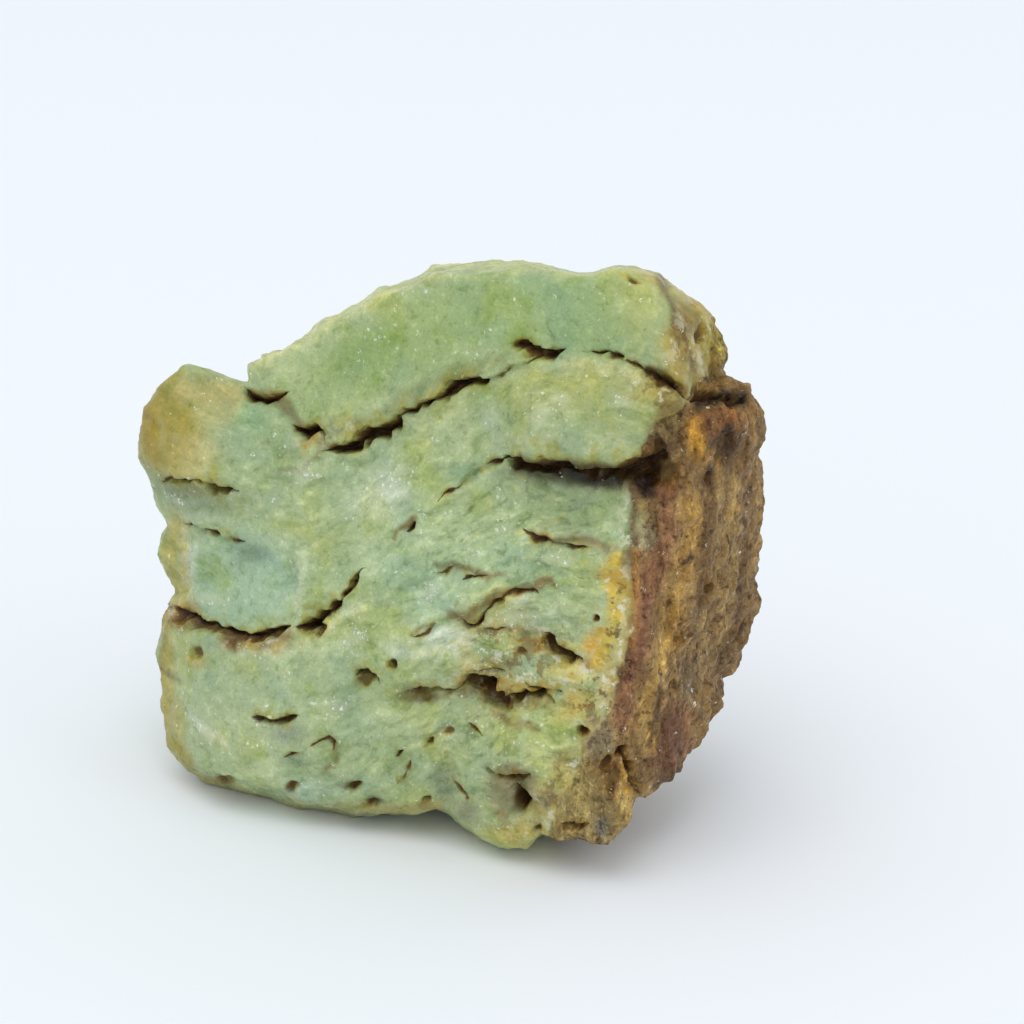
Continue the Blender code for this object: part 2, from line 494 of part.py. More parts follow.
def outline(points, grip, even, strength=1.0):
    """Draw the block out so that its rim on the drawing plane follows OUTLINE.

    The notches of the rim are full in front of it, and they run out behind it, where only the broad
    form of the outline is kept.
    """
    angle, reach, rim, behind = rim_of(points)
    at_across, at_up, _ = on_drawing(np.array((HEART,)))
    corners = np.array(OUTLINE) - np.array((at_across[0], at_up[0]))
    steps = np.linspace(0.0, 1.0, 12, endpoint=False)[:, None]
    fine = np.vstack([a + (b - a) * steps for a, b in zip(corners, np.roll(corners, -1, axis=0))])
    fine_angle = np.arctan2(fine[:, 1], fine[:, 0])
    order = np.argsort(fine_angle)
    turn = 2.0 * math.pi
    wanted = np.interp(CENTRES, fine_angle[order], np.hypot(fine[:, 0], fine[:, 1])[order], period=turn)
    broad = spread(spread(wanted, 10, np.min), 10, np.mean)
    if even:
        wanted = spread(wanted, even, np.mean)
        rim = spread(rim, even, np.mean)
    ratio = np.interp(angle, CENTRES, wanted / rim, period=turn) * (1.0 - behind)
    ratio += np.interp(angle, CENTRES, broad / rim, period=turn) * behind
    share = ease(1.0 - grip, 1.0, reach / np.interp(angle, CENTRES, rim, period=turn))
    grow = (strength * reach * (ratio - 1.0) * share / on_drawing(points)[2])[:, None]
    return points + np.cos(angle)[:, None] * grow * ACROSS + np.sin(angle)[:, None] * grow * UP


def roughness(points):
    """How rough the green face is: little on the waxy parts, much where it is cracked up."""
    across, up, _ = on_drawing(points)
    across = across + 0.8 * noise(points, 3.0, SEED + 41)
    up = up + 0.8 * noise(points, 3.0, SEED + 42)
    value = np.full(len(points), 0.6)
    for x, y, long_half, short_half, turned, wanted in ROUGHNESS:
        share = np.exp(-ellipse_distance(across, up, x, y, long_half, short_half, turned) ** 5.0)
        value = value * (1.0 - share) + wanted * share
    return value


def relief(points, levels):
    """Layers, ledges, cracks, pits and lumps on the side that faces the drawing side."""
    normals = soft_normals(points, levels)
    front = 1.0 - rim_of(points)[3]
    facing = front * ease(-0.35, 0.10, normals @ TOWARD)
    across, up, _ = on_drawing(points)
    across = across + 0.25 * noise(points, 2.2, SEED + 1) + 0.17 * noise(points, 0.8, SEED + 21)
    up = up + 0.25 * noise(points, 2.2, SEED + 2) + 0.17 * noise(points, 0.8, SEED + 22)
    ragged = noise(points, 0.9, SEED + 26)
    broken = noise(points, 1.7, SEED + 27)

    rise = np.zeros(len(points))
    out = np.zeros(len(points))
    sag = np.zeros(len(points))
    for x, y, long_half, short_half, turned, height, flat in LUMPS:
        far = ellipse_distance(across, up, x, y, long_half, short_half, turned)
        rise += height * np.exp(-far ** flat)
    for height, fade, line in LEDGES:
        gap, side, _, taper, _ = line_distance(across, up, line)
        out += 0.5 * height * taper * np.tanh(side / 0.25) * np.exp(-gap / fade)
    for depth, lip, line in CRACKS:
        gap, side, half, taper, grow = line_distance(across, up, line)
        above = 0.5 + 0.5 * np.tanh(side / 0.2)
        out += grow * lip * (above * np.exp(-gap / 2.6) - 0.5 * (1.0 - above) * np.exp(-gap / 2.2))
        proud = above if lip > 0.0 else 1.0 - above
        sag += 0.45 * grow * lip * proud * np.exp(-gap / 0.8)
        slope = gap * (0.7 + above)     # steep above the crack, gentle below it
        whole = np.clip(0.9 + 1.5 * broken + 4.0 * (half - 0.15), 0.0, 1.0)
        deep = depth * whole * np.minimum(1.0, half / 0.25)
        half = np.maximum(half * (0.35 + 0.75 * taper) * (1.0 + 0.8 * ragged), LEAST_CRACK * taper + 0.01)
        out -= deep * (1.0 - ease(0.4 * half, 1.5 * half + 0.1, slope))
    for x, y, long_half, short_half, turned, depth in PITS:
        far = ellipse_distance(across, up, x, y, long_half, short_half, turned)
        out -= depth * (1.0 - ease(0.3, 1.5, far))
    moved = points + TOWARD * (rise * front)[:, None]
    return moved + normals * (out * facing)[:, None] - UP * (sag * facing)[:, None]


def weathered(points, behind):
    """1 on the brown weathered side, 0 on the green face."""
    across, up, _ = on_drawing(points)
    edge = np.interp(up, [p[0] for p in BORDER], [p[1] for p in BORDER])
    wave = 0.6 * noise(points, 3.0, SEED + 3) + 0.3 * noise(points, 1.0, SEED + 23)
    seen = ease(-0.4, 0.4, across - edge + wave + 0.15 * noise(points, 0.4, SEED + 45))
    bays = 7.0 * noise(points, 8.0, SEED + 4) + 2.5 * noise(points, 3.0, SEED + 46)
    hidden = ease(-3.5, 3.5, points[:, 0] - 7.0 + 0.3 * (points[:, 2] - 20.0) + bays)
    return seen * (1.0 - behind) + hidden * behind


def grain(points, levels):
    """Roughness: waxy to crumbly on the green face, ribbed and gritty on the weathered side."""
    normals = soft_normals(points, levels)
    rear = rim_of(points)[3]
    brown = weathered(points, rear)
    face = (1.0 - brown) * (roughness(points) * (1.0 - rear) + 0.5 * rear)
    swell = 0.35 * noise(points, 7.0, SEED + 5) + (0.10 + 0.14 * face) * noise(points, 3.2, SEED + 6)
    bent = points + 1.5 * noise(points, 6.0, SEED + 8)[:, None]
    hackle = np.abs(noise(bent, 6.0, SEED + 7)) - 0.25
    ribs = noise(bent * np.array((1.0, 1.0, 0.20)), 1.9, SEED + 9)
    striae = noise(bent * np.array((1.0, 1.0, 0.22)), 0.75, SEED + 14)
    grit = noise(points, 1.3, SEED + 10)
    edge = np.abs(noise(points, 1.9, SEED + 13)) - 0.25

    rough = brown * ease(-0.85, -0.5, normals[:, 2])
    out = swell + 0.8 * rear * hackle
    out += rough * (0.38 * ribs + 0.36 * striae + 0.24 * grit) + 0.15 * face * grit
    out += (0.04 + 0.14 * face + 0.16 * brown) * edge
    return points + normals * out[:, None]


def settle(points):
    """Flatten what reaches below the ground and put the origin under the middle of the box."""
    low = np.sort(points[:, 2])[int(len(points) * SOLE_SHARE)]
    points = points - np.array((0.0, 0.0, low))
    points[:, 2] = np.maximum(points[:, 2], 0.0)
    middle = 0.5 * (points.min(axis=0) + points.max(axis=0))
    return points - np.array((middle[0], middle[1], 0.0))


# ---------------------------------------------------------------- building
def stone_material():
    material = bpy.data.materials.new("stone")
    material.use_nodes = True
    shader = material.node_tree.nodes["Principled BSDF"]
    shader.inputs["Base Color"].default_value = STONE_COLOR
    shader.inputs["Roughness"].default_value = 0.5
    return material


def rough_piece():
    """The four steps on the ball, as an object with the modifiers that rebuild it."""
    directions, faces, levels = ball(BALL_STEPS)
    points = body(directions)
    points = outline(points, 0.75, 0)
    points = relief(points, levels)
    points = grain(points, levels)
    points = outline(points, 0.45, 6)
    points = outline(points, 0.14, 1, 0.9)
    points = settle(points)

    mesh = bpy.data.meshes.new("rough")
    mesh.from_pydata((points * MM).tolist(), [], faces.tolist())
    piece = bpy.data.objects.new("rough", mesh)
    bpy.context.scene.collection.objects.link(piece)
    rebuilt = piece.modifiers.new("even cells", "REMESH")
    rebuilt.mode = "VOXEL"
    rebuilt.voxel_size = CELL * MM
    bpy.context.view_layer.update()
    cells = len(piece.evaluated_get(bpy.context.evaluated_depsgraph_get()).data.polygons)
    fewer = piece.modifiers.new("fewer triangles", "DECIMATE")
    fewer.ratio = TRIANGLES / (2.0 * cells)
    return piece


def specimen(rough):
    """The finished solid, ground flat where it rests."""
    bpy.context.view_layer.update()
    graph = bpy.context.evaluated_depsgraph_get()
    made = bpy.data.meshes.new_from_object(rough.evaluated_get(graph))
    bpy.data.objects.remove(rough, do_unlink=True)

    mesh = bmesh.new()
    mesh.from_mesh(made)
    for vert in mesh.verts:
        if vert.co.z < SOLE_DEPTH * MM:
            vert.co.z = 0.0
    bmesh.ops.triangulate(mesh, faces=mesh.faces)
    mesh.to_mesh(made)
    mesh.free()
    made.name = "specimen"
    made.materials.clear()
    made.materials.append(stone_material())
    return bpy.data.objects.new("specimen", made)


def main():
    for old in list(bpy.data.objects):
        bpy.data.objects.remove(old, do_unlink=True)
    collection = bpy.data.collections.new(NAME)
    bpy.context.scene.collection.children.link(collection)
    collection.objects.link(specimen(rough_piece()))


main()
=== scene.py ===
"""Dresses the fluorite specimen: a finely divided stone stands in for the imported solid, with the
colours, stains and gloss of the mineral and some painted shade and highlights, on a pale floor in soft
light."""
import math

import bpy
import bmesh
import numpy as np
from mathutils import Matrix, Vector


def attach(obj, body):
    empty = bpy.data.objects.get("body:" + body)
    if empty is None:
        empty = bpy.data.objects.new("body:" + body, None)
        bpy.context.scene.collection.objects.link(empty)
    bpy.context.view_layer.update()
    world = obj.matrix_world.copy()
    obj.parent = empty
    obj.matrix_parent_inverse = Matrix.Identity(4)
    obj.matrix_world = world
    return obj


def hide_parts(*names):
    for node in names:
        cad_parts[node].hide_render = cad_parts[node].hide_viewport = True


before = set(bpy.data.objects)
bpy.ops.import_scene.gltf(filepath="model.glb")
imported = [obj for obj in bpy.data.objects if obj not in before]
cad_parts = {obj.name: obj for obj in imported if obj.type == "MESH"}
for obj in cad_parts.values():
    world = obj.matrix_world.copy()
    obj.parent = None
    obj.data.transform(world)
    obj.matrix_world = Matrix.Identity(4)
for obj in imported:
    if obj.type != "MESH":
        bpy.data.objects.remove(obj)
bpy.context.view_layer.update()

MM = 0.001
SEED = 41
TRIANGLES = 196000           # triangles left in the stone

# The drawing side: where the outline and the relief are drawn from.
TURN = math.radians(27.0)    # from the front towards the weathered side
LIFT = math.radians(22.0)
STAND = 320.0                # millimetres from the camera to the drawing plane
AIM = (4.65, 19.05)          # across and up of the middle of the picture
FIELD = 76.8                 # millimetres that the picture is wide on the drawing plane
SENSOR = 36.0                # width of the camera's sensor

HEART = (0.0, 0.0, 18.5)     # point that the block grows from
DENSER = 0.38                # how far the ball's points are drawn towards the drawing side
SOFT_LEVEL = 1               # level of the ball that the soft normals are taken from
EDGE_POWER = 20.0            # sharpness of the edges between the broken faces
RIM_STEPS = 360              # steps of angle round the rim
REACH = 9.0                  # a crack changes nothing farther away than this

# The light: from all round, and lamps given by their place in metres (across, above the ground and
# towards the camera), size and watts.
SKY_COLOR = (0.92, 0.96, 1.0, 1.0)
SKY_STRENGTH = 0.84
LAMPS = (
    ("key", -0.15, 1.20, 0.50, 0.95, 4.5),
    ("fill", 1.1, 0.5, 0.7, 0.8, 1.5),
)
LAMPS_AIM = (0.0, 0.0, 0.02)
FLOOR_RADIUS = 4.0           # metres

# The material: values kept with the points for it, and how noise is stretched along the height.
FIELDS = ("groove", "halo", "brown", "sugar", "busy", "stain")
UPRIGHT = (1.0, 1.0, 0.34)

# Broken faces: turned from the front towards the weathered side, raised, distance from the heart.
FACES = (
    (-4, 12, 9.8),      # front, leaning back
    (3, 1, 11.1),       # front, lower part
    (-26, 4, 14.4),     # front, turned to the left
    (-52, 2, 20.6),     # front left corner
    (-89, -3, 23.3),    # left end
    (46, -4, 22),       # front right corner
    (88, -5, 21.6),     # weathered side
    (112, 2, 22.8),     # weathered side, turned to the back
    (138, 6, 21.6),     # back right corner
    (172, 8, 11.9),     # back
    (-171, -12, 11.8),  # back, lower part
    (-154, 6, 15.2),    # back, turned to the left
    (-122, 4, 21.4),    # back left corner
    (0, 80, 24.6),      # top of the ridge
    (178, 58, 20),      # long slope behind the ridge
    (-84, 57, 20.2),    # slope down to the left
    (-94, 22, 25),      # end of the left knob
    (105, 46, 26.4),    # slope down to the right
    (125, -50, 23.4),   # undercut below the weathered side
    (-88, -48, 27.4),   # rounding under the left end
    (0, -46, 21.2),     # rounding under the front
    (180, -42, 19.6),   # rounding under the back
    (8, -62, 20.4),     # low slope under the front edge
    (-56, -87, 21.4),   # underside
)
CHIPS = 110                  # small broken faces tried; those in front and below are left out
CHIP_DEPTH = (0.4, 1.9)

# Rim of the piece on the drawing plane: across, up.
OUTLINE = (
    (-19.9, 30.2), (-18.7, 29.9), (-17.2, 29.4), (-15.9, 29.1), (-15.3, 30.2), (-14.2, 30.7),
    (-12.6, 31.4), (-11.2, 32.1), (-9.8, 33.4), (-8.2, 34.1), (-6.8, 34.9), (-5.4, 35.9),
    (-3.8, 36.3), (-2.2, 37), (-1.2, 37.6), (2.2, 37.9), (4.6, 38), (6.8, 37.8),
    (8.4, 37.4), (10, 37.2), (11.2, 37.3), (12.4, 37.7), (14.2, 37.6), (15.8, 37.1),
    (17, 36.1), (18.2, 35.2), (19.4, 34.3), (20.2, 33), (20.8, 31), (20.9, 29.8),
    (22.1, 28.9), (23, 27.5), (23.5, 26.5), (23.7, 24.8), (23.4, 22.9), (23.6, 21.4),
    (23.5, 18.4), (23.3, 15.6), (23.1, 12.9), (23.3, 12), (22.6, 10.2), (21.8, 7.8),
    (20.9, 6.4), (20.7, 5.3), (19.9, 3.6), (18.9, 1.9), (17.9, 0.7), (17.3, -0.4),
    (16.3, -1.3), (15.3, -2.2), (14, -2.6), (13.6, -4), (12.8, -5.2), (11.6, -6),
    (10.1, -5.7), (8.2, -5.8), (7, -5.5), (6, -6.1), (4.2, -6.3), (2.6, -5.8),
    (1.2, -4.9), (0, -3.9), (-0.9, -3.5), (-3, -3.7), (-5.2, -3.7), (-7.2, -4),
    (-9, -3.7), (-11.4, -3.5), (-13.4, -2.7), (-15.6, -2.2), (-18.6, -1.3), (-20.2, 0.2),
    (-21.3, 1.6), (-21.7, 4.4), (-21.8, 7), (-22.1, 8.6), (-21.7, 10.6), (-21.3, 12.2),
    (-20.8, 13), (-21.4, 14.4), (-21.9, 15.9), (-21.7, 17.4), (-21.4, 18.2), (-22.1, 19.4),
    (-22.6, 21.2), (-22.8, 21.9), (-23.4, 23.1), (-23.4, 24.8), (-23, 26.6), (-22.2, 28),
    (-21.2, 29.2),
)

# Lumps and broad hollows: across, up, half length, half width, turned by, height, flatness of top.
LUMPS = (
    (6.5, -2.5, 6, 4, -10, 1.5, 3),        # foot
    (12.8, -2.4, 1.5, 2.8, 0, 1.3, 3),     # ochre lump at the right of the foot
    (10.9, 2, 1.4, 2, -10, 0.8, 3),        # smooth lump above it
    (5.2, -2.4, 2.9, 2.1, -10, -1, 2),     # hollow in the foot
    (6.9, -2, 1.2, 0.7, -10, 0.7, 2),      # grey bead in the hollow
    (7.1, 3.1, 4.2, 1.7, 6, 0.7, 2),       # bright swell above the foot
    (-2, 13, 9, 7.5, 20, 0.9, 2),          # swell of the middle
    (-21, 25.4, 3.2, 3.8, 10, 1, 3),       # left knob
    (-14.6, 3.2, 7.4, 5.8, -8, 1.3, 3),    # lower left block
    (-15.5, 13.8, 4.2, 4.4, -5, -1, 5),    # smooth hollow face on the left
    (-18.2, 19.6, 3.4, 1.1, -4, -0.7, 2),  # hollow shelf under the knob
    (5, 33, 11, 4, -4, -0.7, 3),           # dished face of the cap
    (-8, 28, 7, 3.6, 30, -0.3, 3),         # left part of the cap
    (8, 26.4, 8, 2.6, -4, 1.3, 3),         # second layer
    (14.4, 26, 2.6, 2.2, -20, 0.4, 3),     # right end of the second layer
    (16.4, 27.6, 1.4, 0.9, 0, 0.6, 3),     # last lump of the second layer
    (7.6, 19.6, 6.6, 2.8, 0, -1.6, 3),     # below the second crack
    (-1.9, 5.5, 1.9, 0.7, 0, -0.7, 2),     # soft brown hollow
    (4.9, 5.9, 1, 0.4, 10, 0.6, 2),        # light lens in the cavity
    (3.1, 5.4, 2.6, 1.1, -8, -0.8, 2),     # cavity round it
    (8.9, 6.9, 1.7, 0.8, -15, 0.5, 2),     # beige swell beside the cavity
    (4.4, 12.4, 1.7, 0.9, 22, 0.6, 3),     # light facet
    (7.2, 9.4, 1.7, 1.1, -40, -0.6, 2),    # hollow round the dark hole
    (-10.1, 1.2, 1, 0.9, 20, 0.45, 3),     # lozenge in the lower left
    (-12.4, 2.2, 1.5, 0.7, 0, -0.4, 2),    # dip under the lower left crack
    (-6.9, 14.6, 2.4, 1.6, 35, -0.3, 2),   # pinkish hollow
    (-4.8, 20.8, 2.2, 1.3, 40, 0.4, 2),    # bright rise in the middle
    (-14.4, 25.7, 1.7, 1.5, 0, -0.3, 2),   # dip beside the knob
    (2.2, 17.8, 2.6, 1, 15, 0.35, 2),
    (-9.2, 8.3, 3.4, 1.2, 15, 0.4, 2),
    (-0.6, 0.2, 1.6, 2.2, 15, -0.5, 2),    # dip beside the foot
    (19.6, 25, 2.6, 2.8, 0, 0.7, 3),       # top of the weathered block
    (17.2, 31.6, 3, 4.6, 0, 0.4, 3),       # right end of the cap
    (15.4, 21.4, 1.5, 1.2, 0, -0.8, 2),    # dark hollow on the border
    (20.3, 23.6, 1.2, 1.5, 0, -0.6, 2),    # hollow below the top of the weathered block
    (16, 13, 0.9, 8.6, 8, -0.7, 3),        # mauve hollow band down the weathered side
    (17.7, 12, 0.8, 8, 8, 0.4, 2),         # ridge beside it
    (21, 14, 2.6, 6.5, 6, 0.5, 2),         # swell of the weathered side
)

# Steps without a gap: height, how far it fades, points across and up; the side on the left of the
# way from point to point stands out.
LEDGES = (
    (0.7, 1.6, ((-11.2, 16.6), (-11.3, 14.7), (-11.5, 12.4), (-11.3, 10.9))),
    (0.5, 0.9, ((-19.5, 16.8), (-19.5, 12.4), (-18.9, 11.2))),
    (0.5, 1, ((15.9, 36.2), (16.6, 33.8), (17.5, 31.6), (18, 29.9))),
    (0.4, 1.4, ((-13.8, 22.2), (-10.6, 22.6), (-8.6, 23.6))),
    (0.5, 1.6, ((-5.2, 16.8), (-2.4, 18.6), (0.6, 20.4))),
    (0.5, 1.3, ((-4.4, 6.3), (-1.6, 6.7), (1.4, 7.2), (4.2, 7.4))),
    (0.4, 1.2, ((2.2, 14.8), (5.2, 15.6), (9.4, 14.6), (12.4, 14.4))),
    (0.4, 1.2, ((-2.6, 9.2), (0.6, 9.8), (3.8, 9.2))),
    (0.4, 1.4, ((-8.4, 1.4), (-5.4, 2.2), (-0.6, 2.4))),
    (0.4, 1, ((-6.6, 12.2), (-4, 13.4), (-1.4, 13.6))),
    (0.5, 0.8, ((14.2, 19), (14.2, 13), (12.8, 6), (11.9, 4))),
    (0.5, 0.8, ((17.4, 7), (16.4, 3.4), (15.6, 0.4))),
    (0.4, 1, ((-18.2, 9.2), (-14, 8.2), (-11, 9))),
)

# How rough the green face is: across, up, half length, half width, turned by, roughness.
ROUGHNESS = (
    (-3.8, 31.6, 10.5, 3.6, 27, 0.16),  # cap, left part
    (8.2, 34, 9.5, 4.2, 0, 0.16),       # cap, right part
    (-15.5, 13.7, 4, 4.3, 0, 0.12),     # smooth face
    (-17.5, 19.5, 4.6, 1.2, 0, 0.2),    # shelf under the knob
    (-20.5, 25, 3.2, 4.5, 0, 0.45),     # knob
    (5.5, 13.5, 8, 8, 0, 0.95),         # right of the middle
    (5.5, 3, 8, 6.5, 0, 1),             # cavity and foot
    (-15.5, 5, 6, 5.2, 0, 0.3),         # lower left block
)

# Cracks: depth, how far the upper side stands out, points across, up and half width.
CRACKS = (
    (1.5, 0.6, (  # under the cap
        (-9.6, 23.6, 0.11), (-8.2, 23.9, 0.22), (-7.5, 24.2, 0.3), (-6.9, 24.8, 0.38),
        (-6.3, 25.2, 0.45), (-5.2, 25.4, 0.45), (-4.3, 25.6, 0.3), (-3.8, 26.2, 0.14),
        (-3.1, 26.8, 0.22), (-2.6, 26.9, 0.22), (-1.9, 27.4, 0.17), (-1.3, 27.6, 0.21),
        (-0.8, 27.8, 0.3), (-0.4, 28.3, 0.38), (0.4, 28.9, 0.38), (1.1, 29.2, 0.3),
        (1.9, 29.2, 0.3), (2.8, 29.2, 0.15), (3.8, 29.5, 0.11), (4.5, 30.1, 0.11),
        (6, 30.4, 0.09), (7.1, 30.8, 0.09),
    )),
    (1.3, -0.4, (  # above the second layer
        (4.5, 31.7, 0.11), (5, 31.7, 0.22), (5.6, 31.6, 0.26), (6.2, 31.3, 0.3),
        (6.8, 31, 0.3), (7.6, 30.8, 0.3), (8.4, 31.1, 0.19), (8.8, 31.4, 0.09),
    )),
    (1.5, -0.4, (  # right end of the cap
        (9.3, 31, 0.07), (10.5, 31, 0.11), (11.2, 30.9, 0.15), (11.8, 30.8, 0.19),
        (13.1, 30.3, 0.15), (14.2, 30.1, 0.19), (15, 29.5, 0.3), (15.8, 29.2, 0.45),
        (16.6, 28.9, 0.45), (17.4, 28.5, 0.38), (18, 27.8, 0.22),
    )),
    (2, -0.6, (  # top of the weathered block
        (18.3, 27.5, 0.3), (19.2, 27.8, 0.45), (20.2, 28, 0.45), (21.2, 27.8, 0.42),
        (22.2, 27.5, 0.34),
    )),
    (1.4, 0.5, (  # behind the knob
        (-15.9, 28.9, 0.15), (-15.3, 28.1, 0.22), (-14.1, 27.8, 0.26), (-13.3, 28.2, 0.22),
        (-12.2, 28.3, 0.15),
    )),
    (1.4, 0.4, (  # below the left of the cap
        (-12, 25.6, 0.22), (-11, 25.2, 0.41), (-10.3, 25.4, 0.38), (-9.8, 25.2, 0.3),
        (-9.6, 24.4, 0.19),
    )),
    (1.4, 0.6, (  # under the knob
        (-21.9, 21.5, 0.15), (-20.6, 21.5, 0.22), (-19.5, 21.6, 0.15), (-18.4, 21.6, 0.22),
        (-17.6, 21.3, 0.41), (-16.8, 21, 0.3), (-15.9, 20.5, 0.11),
    )),
    (0.9, 0.3, (  # above the smooth face
        (-20.6, 18.2, 0.11), (-19.5, 18, 0.15), (-18.4, 17.7, 0.19), (-17.5, 17.4, 0.22),
        (-16.9, 17.1, 0.22), (-16.3, 16.9, 0.19), (-15.5, 16.9, 0.11),
    )),
    (1.1, -0.6, (  # under the smooth face
        (-21.5, 12.3, 0.15), (-20.4, 11.4, 0.3), (-19.5, 10.8, 0.38), (-18.8, 10.6, 0.38),
        (-17.8, 10.5, 0.3), (-16.9, 10, 0.3), (-16.1, 9.7, 0.38), (-15.4, 9.5, 0.45),
        (-14.4, 9.5, 0.45), (-13.7, 9.8, 0.38), (-12.8, 10.2, 0.3), (-12, 10.5, 0.22),
    )),
    (1.2, -0.2, (  # right of the smooth face
        (-11.5, 10.4, 0.22), (-10.9, 10.3, 0.38), (-10.3, 10.7, 0.53), (-9.9, 11.1, 0.38),
        (-9.4, 11.5, 0.3), (-8.8, 11.9, 0.38), (-8.2, 12.3, 0.3), (-7.7, 13.2, 0.22),
        (-7.3, 13.9, 0.19), (-6.9, 14.5, 0.11), (-6.3, 15, 0.07),
    )),
    (1.6, 1.3, (  # under the second layer
        (4.1, 23, 0.3), (4.9, 22.9, 0.45), (5.6, 23.1, 0.45), (6.5, 22.9, 0.53),
        (7.3, 23.2, 0.6), (8.2, 23.1, 0.66), (9.2, 22.8, 0.72), (10, 22.5, 0.66),
        (10.9, 22.5, 0.55), (12, 22.5, 0.6), (13.1, 22.4, 0.75), (14.2, 22.6, 0.85),
        (15, 22.9, 0.6), (16.4, 23.3, 0.4),
    )),
    (0.8, 0.2, (  # its thin end
        (-0.9, 19.9, 0.09), (-0.2, 20.5, 0.11), (0.4, 20.9, 0.15), (1.1, 21.6, 0.15),
        (1.9, 22.2, 0.14), (2.5, 22.6, 0.15), (3.4, 22.9, 0.15), (4.1, 23, 0.22),
    )),
    (0.6, 0.1, (  # nick
        (-3.4, 17.5, 0.07), (-3.1, 17.8, 0.15), (-2.8, 18.2, 0.17), (-2.2, 18.8, 0.07),
    )),
    (0.6, 0.1, (  # nick
        (1, 16.7, 0.07), (1.5, 16.9, 0.15), (1.9, 16.7, 0.07),
    )),
    (0.55, 0.2, (  # brown dashes
        (5.5, 17.7, 0.15), (6.4, 17.3, 0.26), (7.1, 17.1, 0.26), (7.9, 16.9, 0.08),
        (8.8, 16.7, 0.16), (9.8, 16.5, 0.2), (10.7, 16.3, 0.1), (11.5, 16.1, 0.18),
        (12, 15.9, 0.07),
    )),
    (0.6, 0.2, (  # nick
        (-1.2, 14.5, 0.09), (-0.4, 14.8, 0.15), (0.4, 15.1, 0.19), (1.3, 14.8, 0.11),
    )),
    (0.6, 0.1, (  # nick
        (0.6, 13.9, 0.07), (1.1, 14.2, 0.17), (1.6, 14.4, 0.19), (2.2, 14.5, 0.11),
        (2.9, 14.5, 0.07),
    )),
    (0.8, 0.2, (  # curl
        (0.1, 11.8, 0.11), (0.8, 11.2, 0.17), (1.5, 10.9, 0.19), (2.2, 10.9, 0.15),
        (2.9, 11.8, 0.15), (3.4, 12.3, 0.17), (4.1, 12.7, 0.19), (4.9, 13.2, 0.19),
        (5.6, 13.3, 0.15), (6.2, 13.3, 0.15), (6.8, 13, 0.09),
    )),
    (0.6, 0.1, (  # nick
        (2.5, 10.4, 0.07), (3.4, 10.3, 0.14), (4.3, 10.4, 0.15), (5, 10.3, 0.07),
    )),
    (1.5, 0.2, (  # dark hole
        (7.1, 10.2, 0.22), (7.5, 9.6, 0.45), (8, 9, 0.53), (8.5, 8.5, 0.45), (9.2, 8.2, 0.38),
        (9.9, 7.9, 0.22),
    )),
    (0.5, 0.1, (  # olive leaf
        (-2.6, 9.8, 0.07), (-1.9, 10.2, 0.15), (-1.3, 10.5, 0.15), (-0.6, 10.7, 0.07),
    )),
    (0.9, 0.3, (  # crescent
        (-7.3, 6.6, 0.1), (-6.8, 7.2, 0.17), (-6.1, 7.4, 0.2), (-5.5, 7, 0.22),
        (-5.2, 6.3, 0.12),
    )),
    (1.4, 0.5, (  # brown cavity
        (-3.4, 5.7, 0.22), (-2.2, 6, 0.3), (-0.8, 5.9, 0.3), (0.6, 6.1, 0.22), (1.3, 6.6, 0.3),
        (2.2, 6.5, 0.45), (2.9, 5.9, 0.53), (3.5, 5.5, 0.45), (4.2, 5.2, 0.3), (5.1, 5.5, 0.3),
        (6, 5.7, 0.34), (7.1, 5.5, 0.38), (7.7, 5, 0.22),
    )),
    (0.8, 0.2, (  # beside the cavity
        (1.9, 7, 0.15), (3, 7.3, 0.19), (4.1, 7, 0.15),
    )),
    (0.8, 0.2, (  # beside the cavity
        (5.8, 6.5, 0.15), (7.1, 6.1, 0.22), (8.4, 5.5, 0.11),
    )),
    (0.9, 0.3, (  # lower left
        (-15.2, 3.5, 0.09), (-14.4, 3.65, 0.2), (-13.4, 3.55, 0.2), (-12.4, 3.6, 0.18),
        (-11.5, 3.7, 0.16), (-10.8, 3.6, 0.09),
    )),
    (0.5, 0.2, (  # lower left hook
        (-13, 0.5, 0.06), (-12.4, 0.8, 0.12), (-11.8, 1.2, 0.12), (-11.1, 1.3, 0.08),
        (-10.4, 1.7, 0.08), (-9.8, 2, 0.12), (-9, 2.1, 0.12), (-8.5, 1.8, 0.12),
        (-8.6, 1.1, 0.07),
    )),
    (0.7, 0, (  # nick
        (-4.2, -1.6, 0.09), (-3.8, -1.1, 0.15), (-3.2, -0.3, 0.17), (-2.7, 0.4, 0.09),
    )),
    (0.6, 0, (  # nick
        (-4.1, 0.7, 0.07), (-3.7, 1.1, 0.15), (-3.2, 1.3, 0.07),
    )),
    (0.5, 0, (  # nick
        (1.2, 3.3, 0.07), (1.8, 2.8, 0.17), (2.5, 2.2, 0.07),
    )),
    (1.2, 0.5, (  # foot hollow
        (2.6, -0.3, 0.22), (3.8, -0.4, 0.3), (4.9, -0.5, 0.3), (6, -0.7, 0.22),
    )),
    (2, 0, (  # foot hole
        (4.9, -1.5, 0.22), (5.3, -2.2, 0.45), (5.5, -3, 0.45), (5.2, -3.6, 0.22),
    )),
    (1.2, 0.2, (  # foot slot
        (8.7, -4.5, 0.15), (9.4, -4.3, 0.3), (10, -4.3, 0.15),
    )),
    (0.4, 0, (  # left of the foot
        (-0.5, 0.2, 0.07), (-0.1, -0.5, 0.12), (0.2, -1.3, 0.12), (0.8, -2, 0.14),
        (1.2, -2.8, 0.18), (1.5, -3.7, 0.1),
    )),
    (1.4, 0.3, (  # right of the foot
        (14.1, -2.5, 0.3), (13.7, -1.4, 0.3), (13.3, -0.3, 0.3), (12.9, 0.8, 0.22),
    )),
)

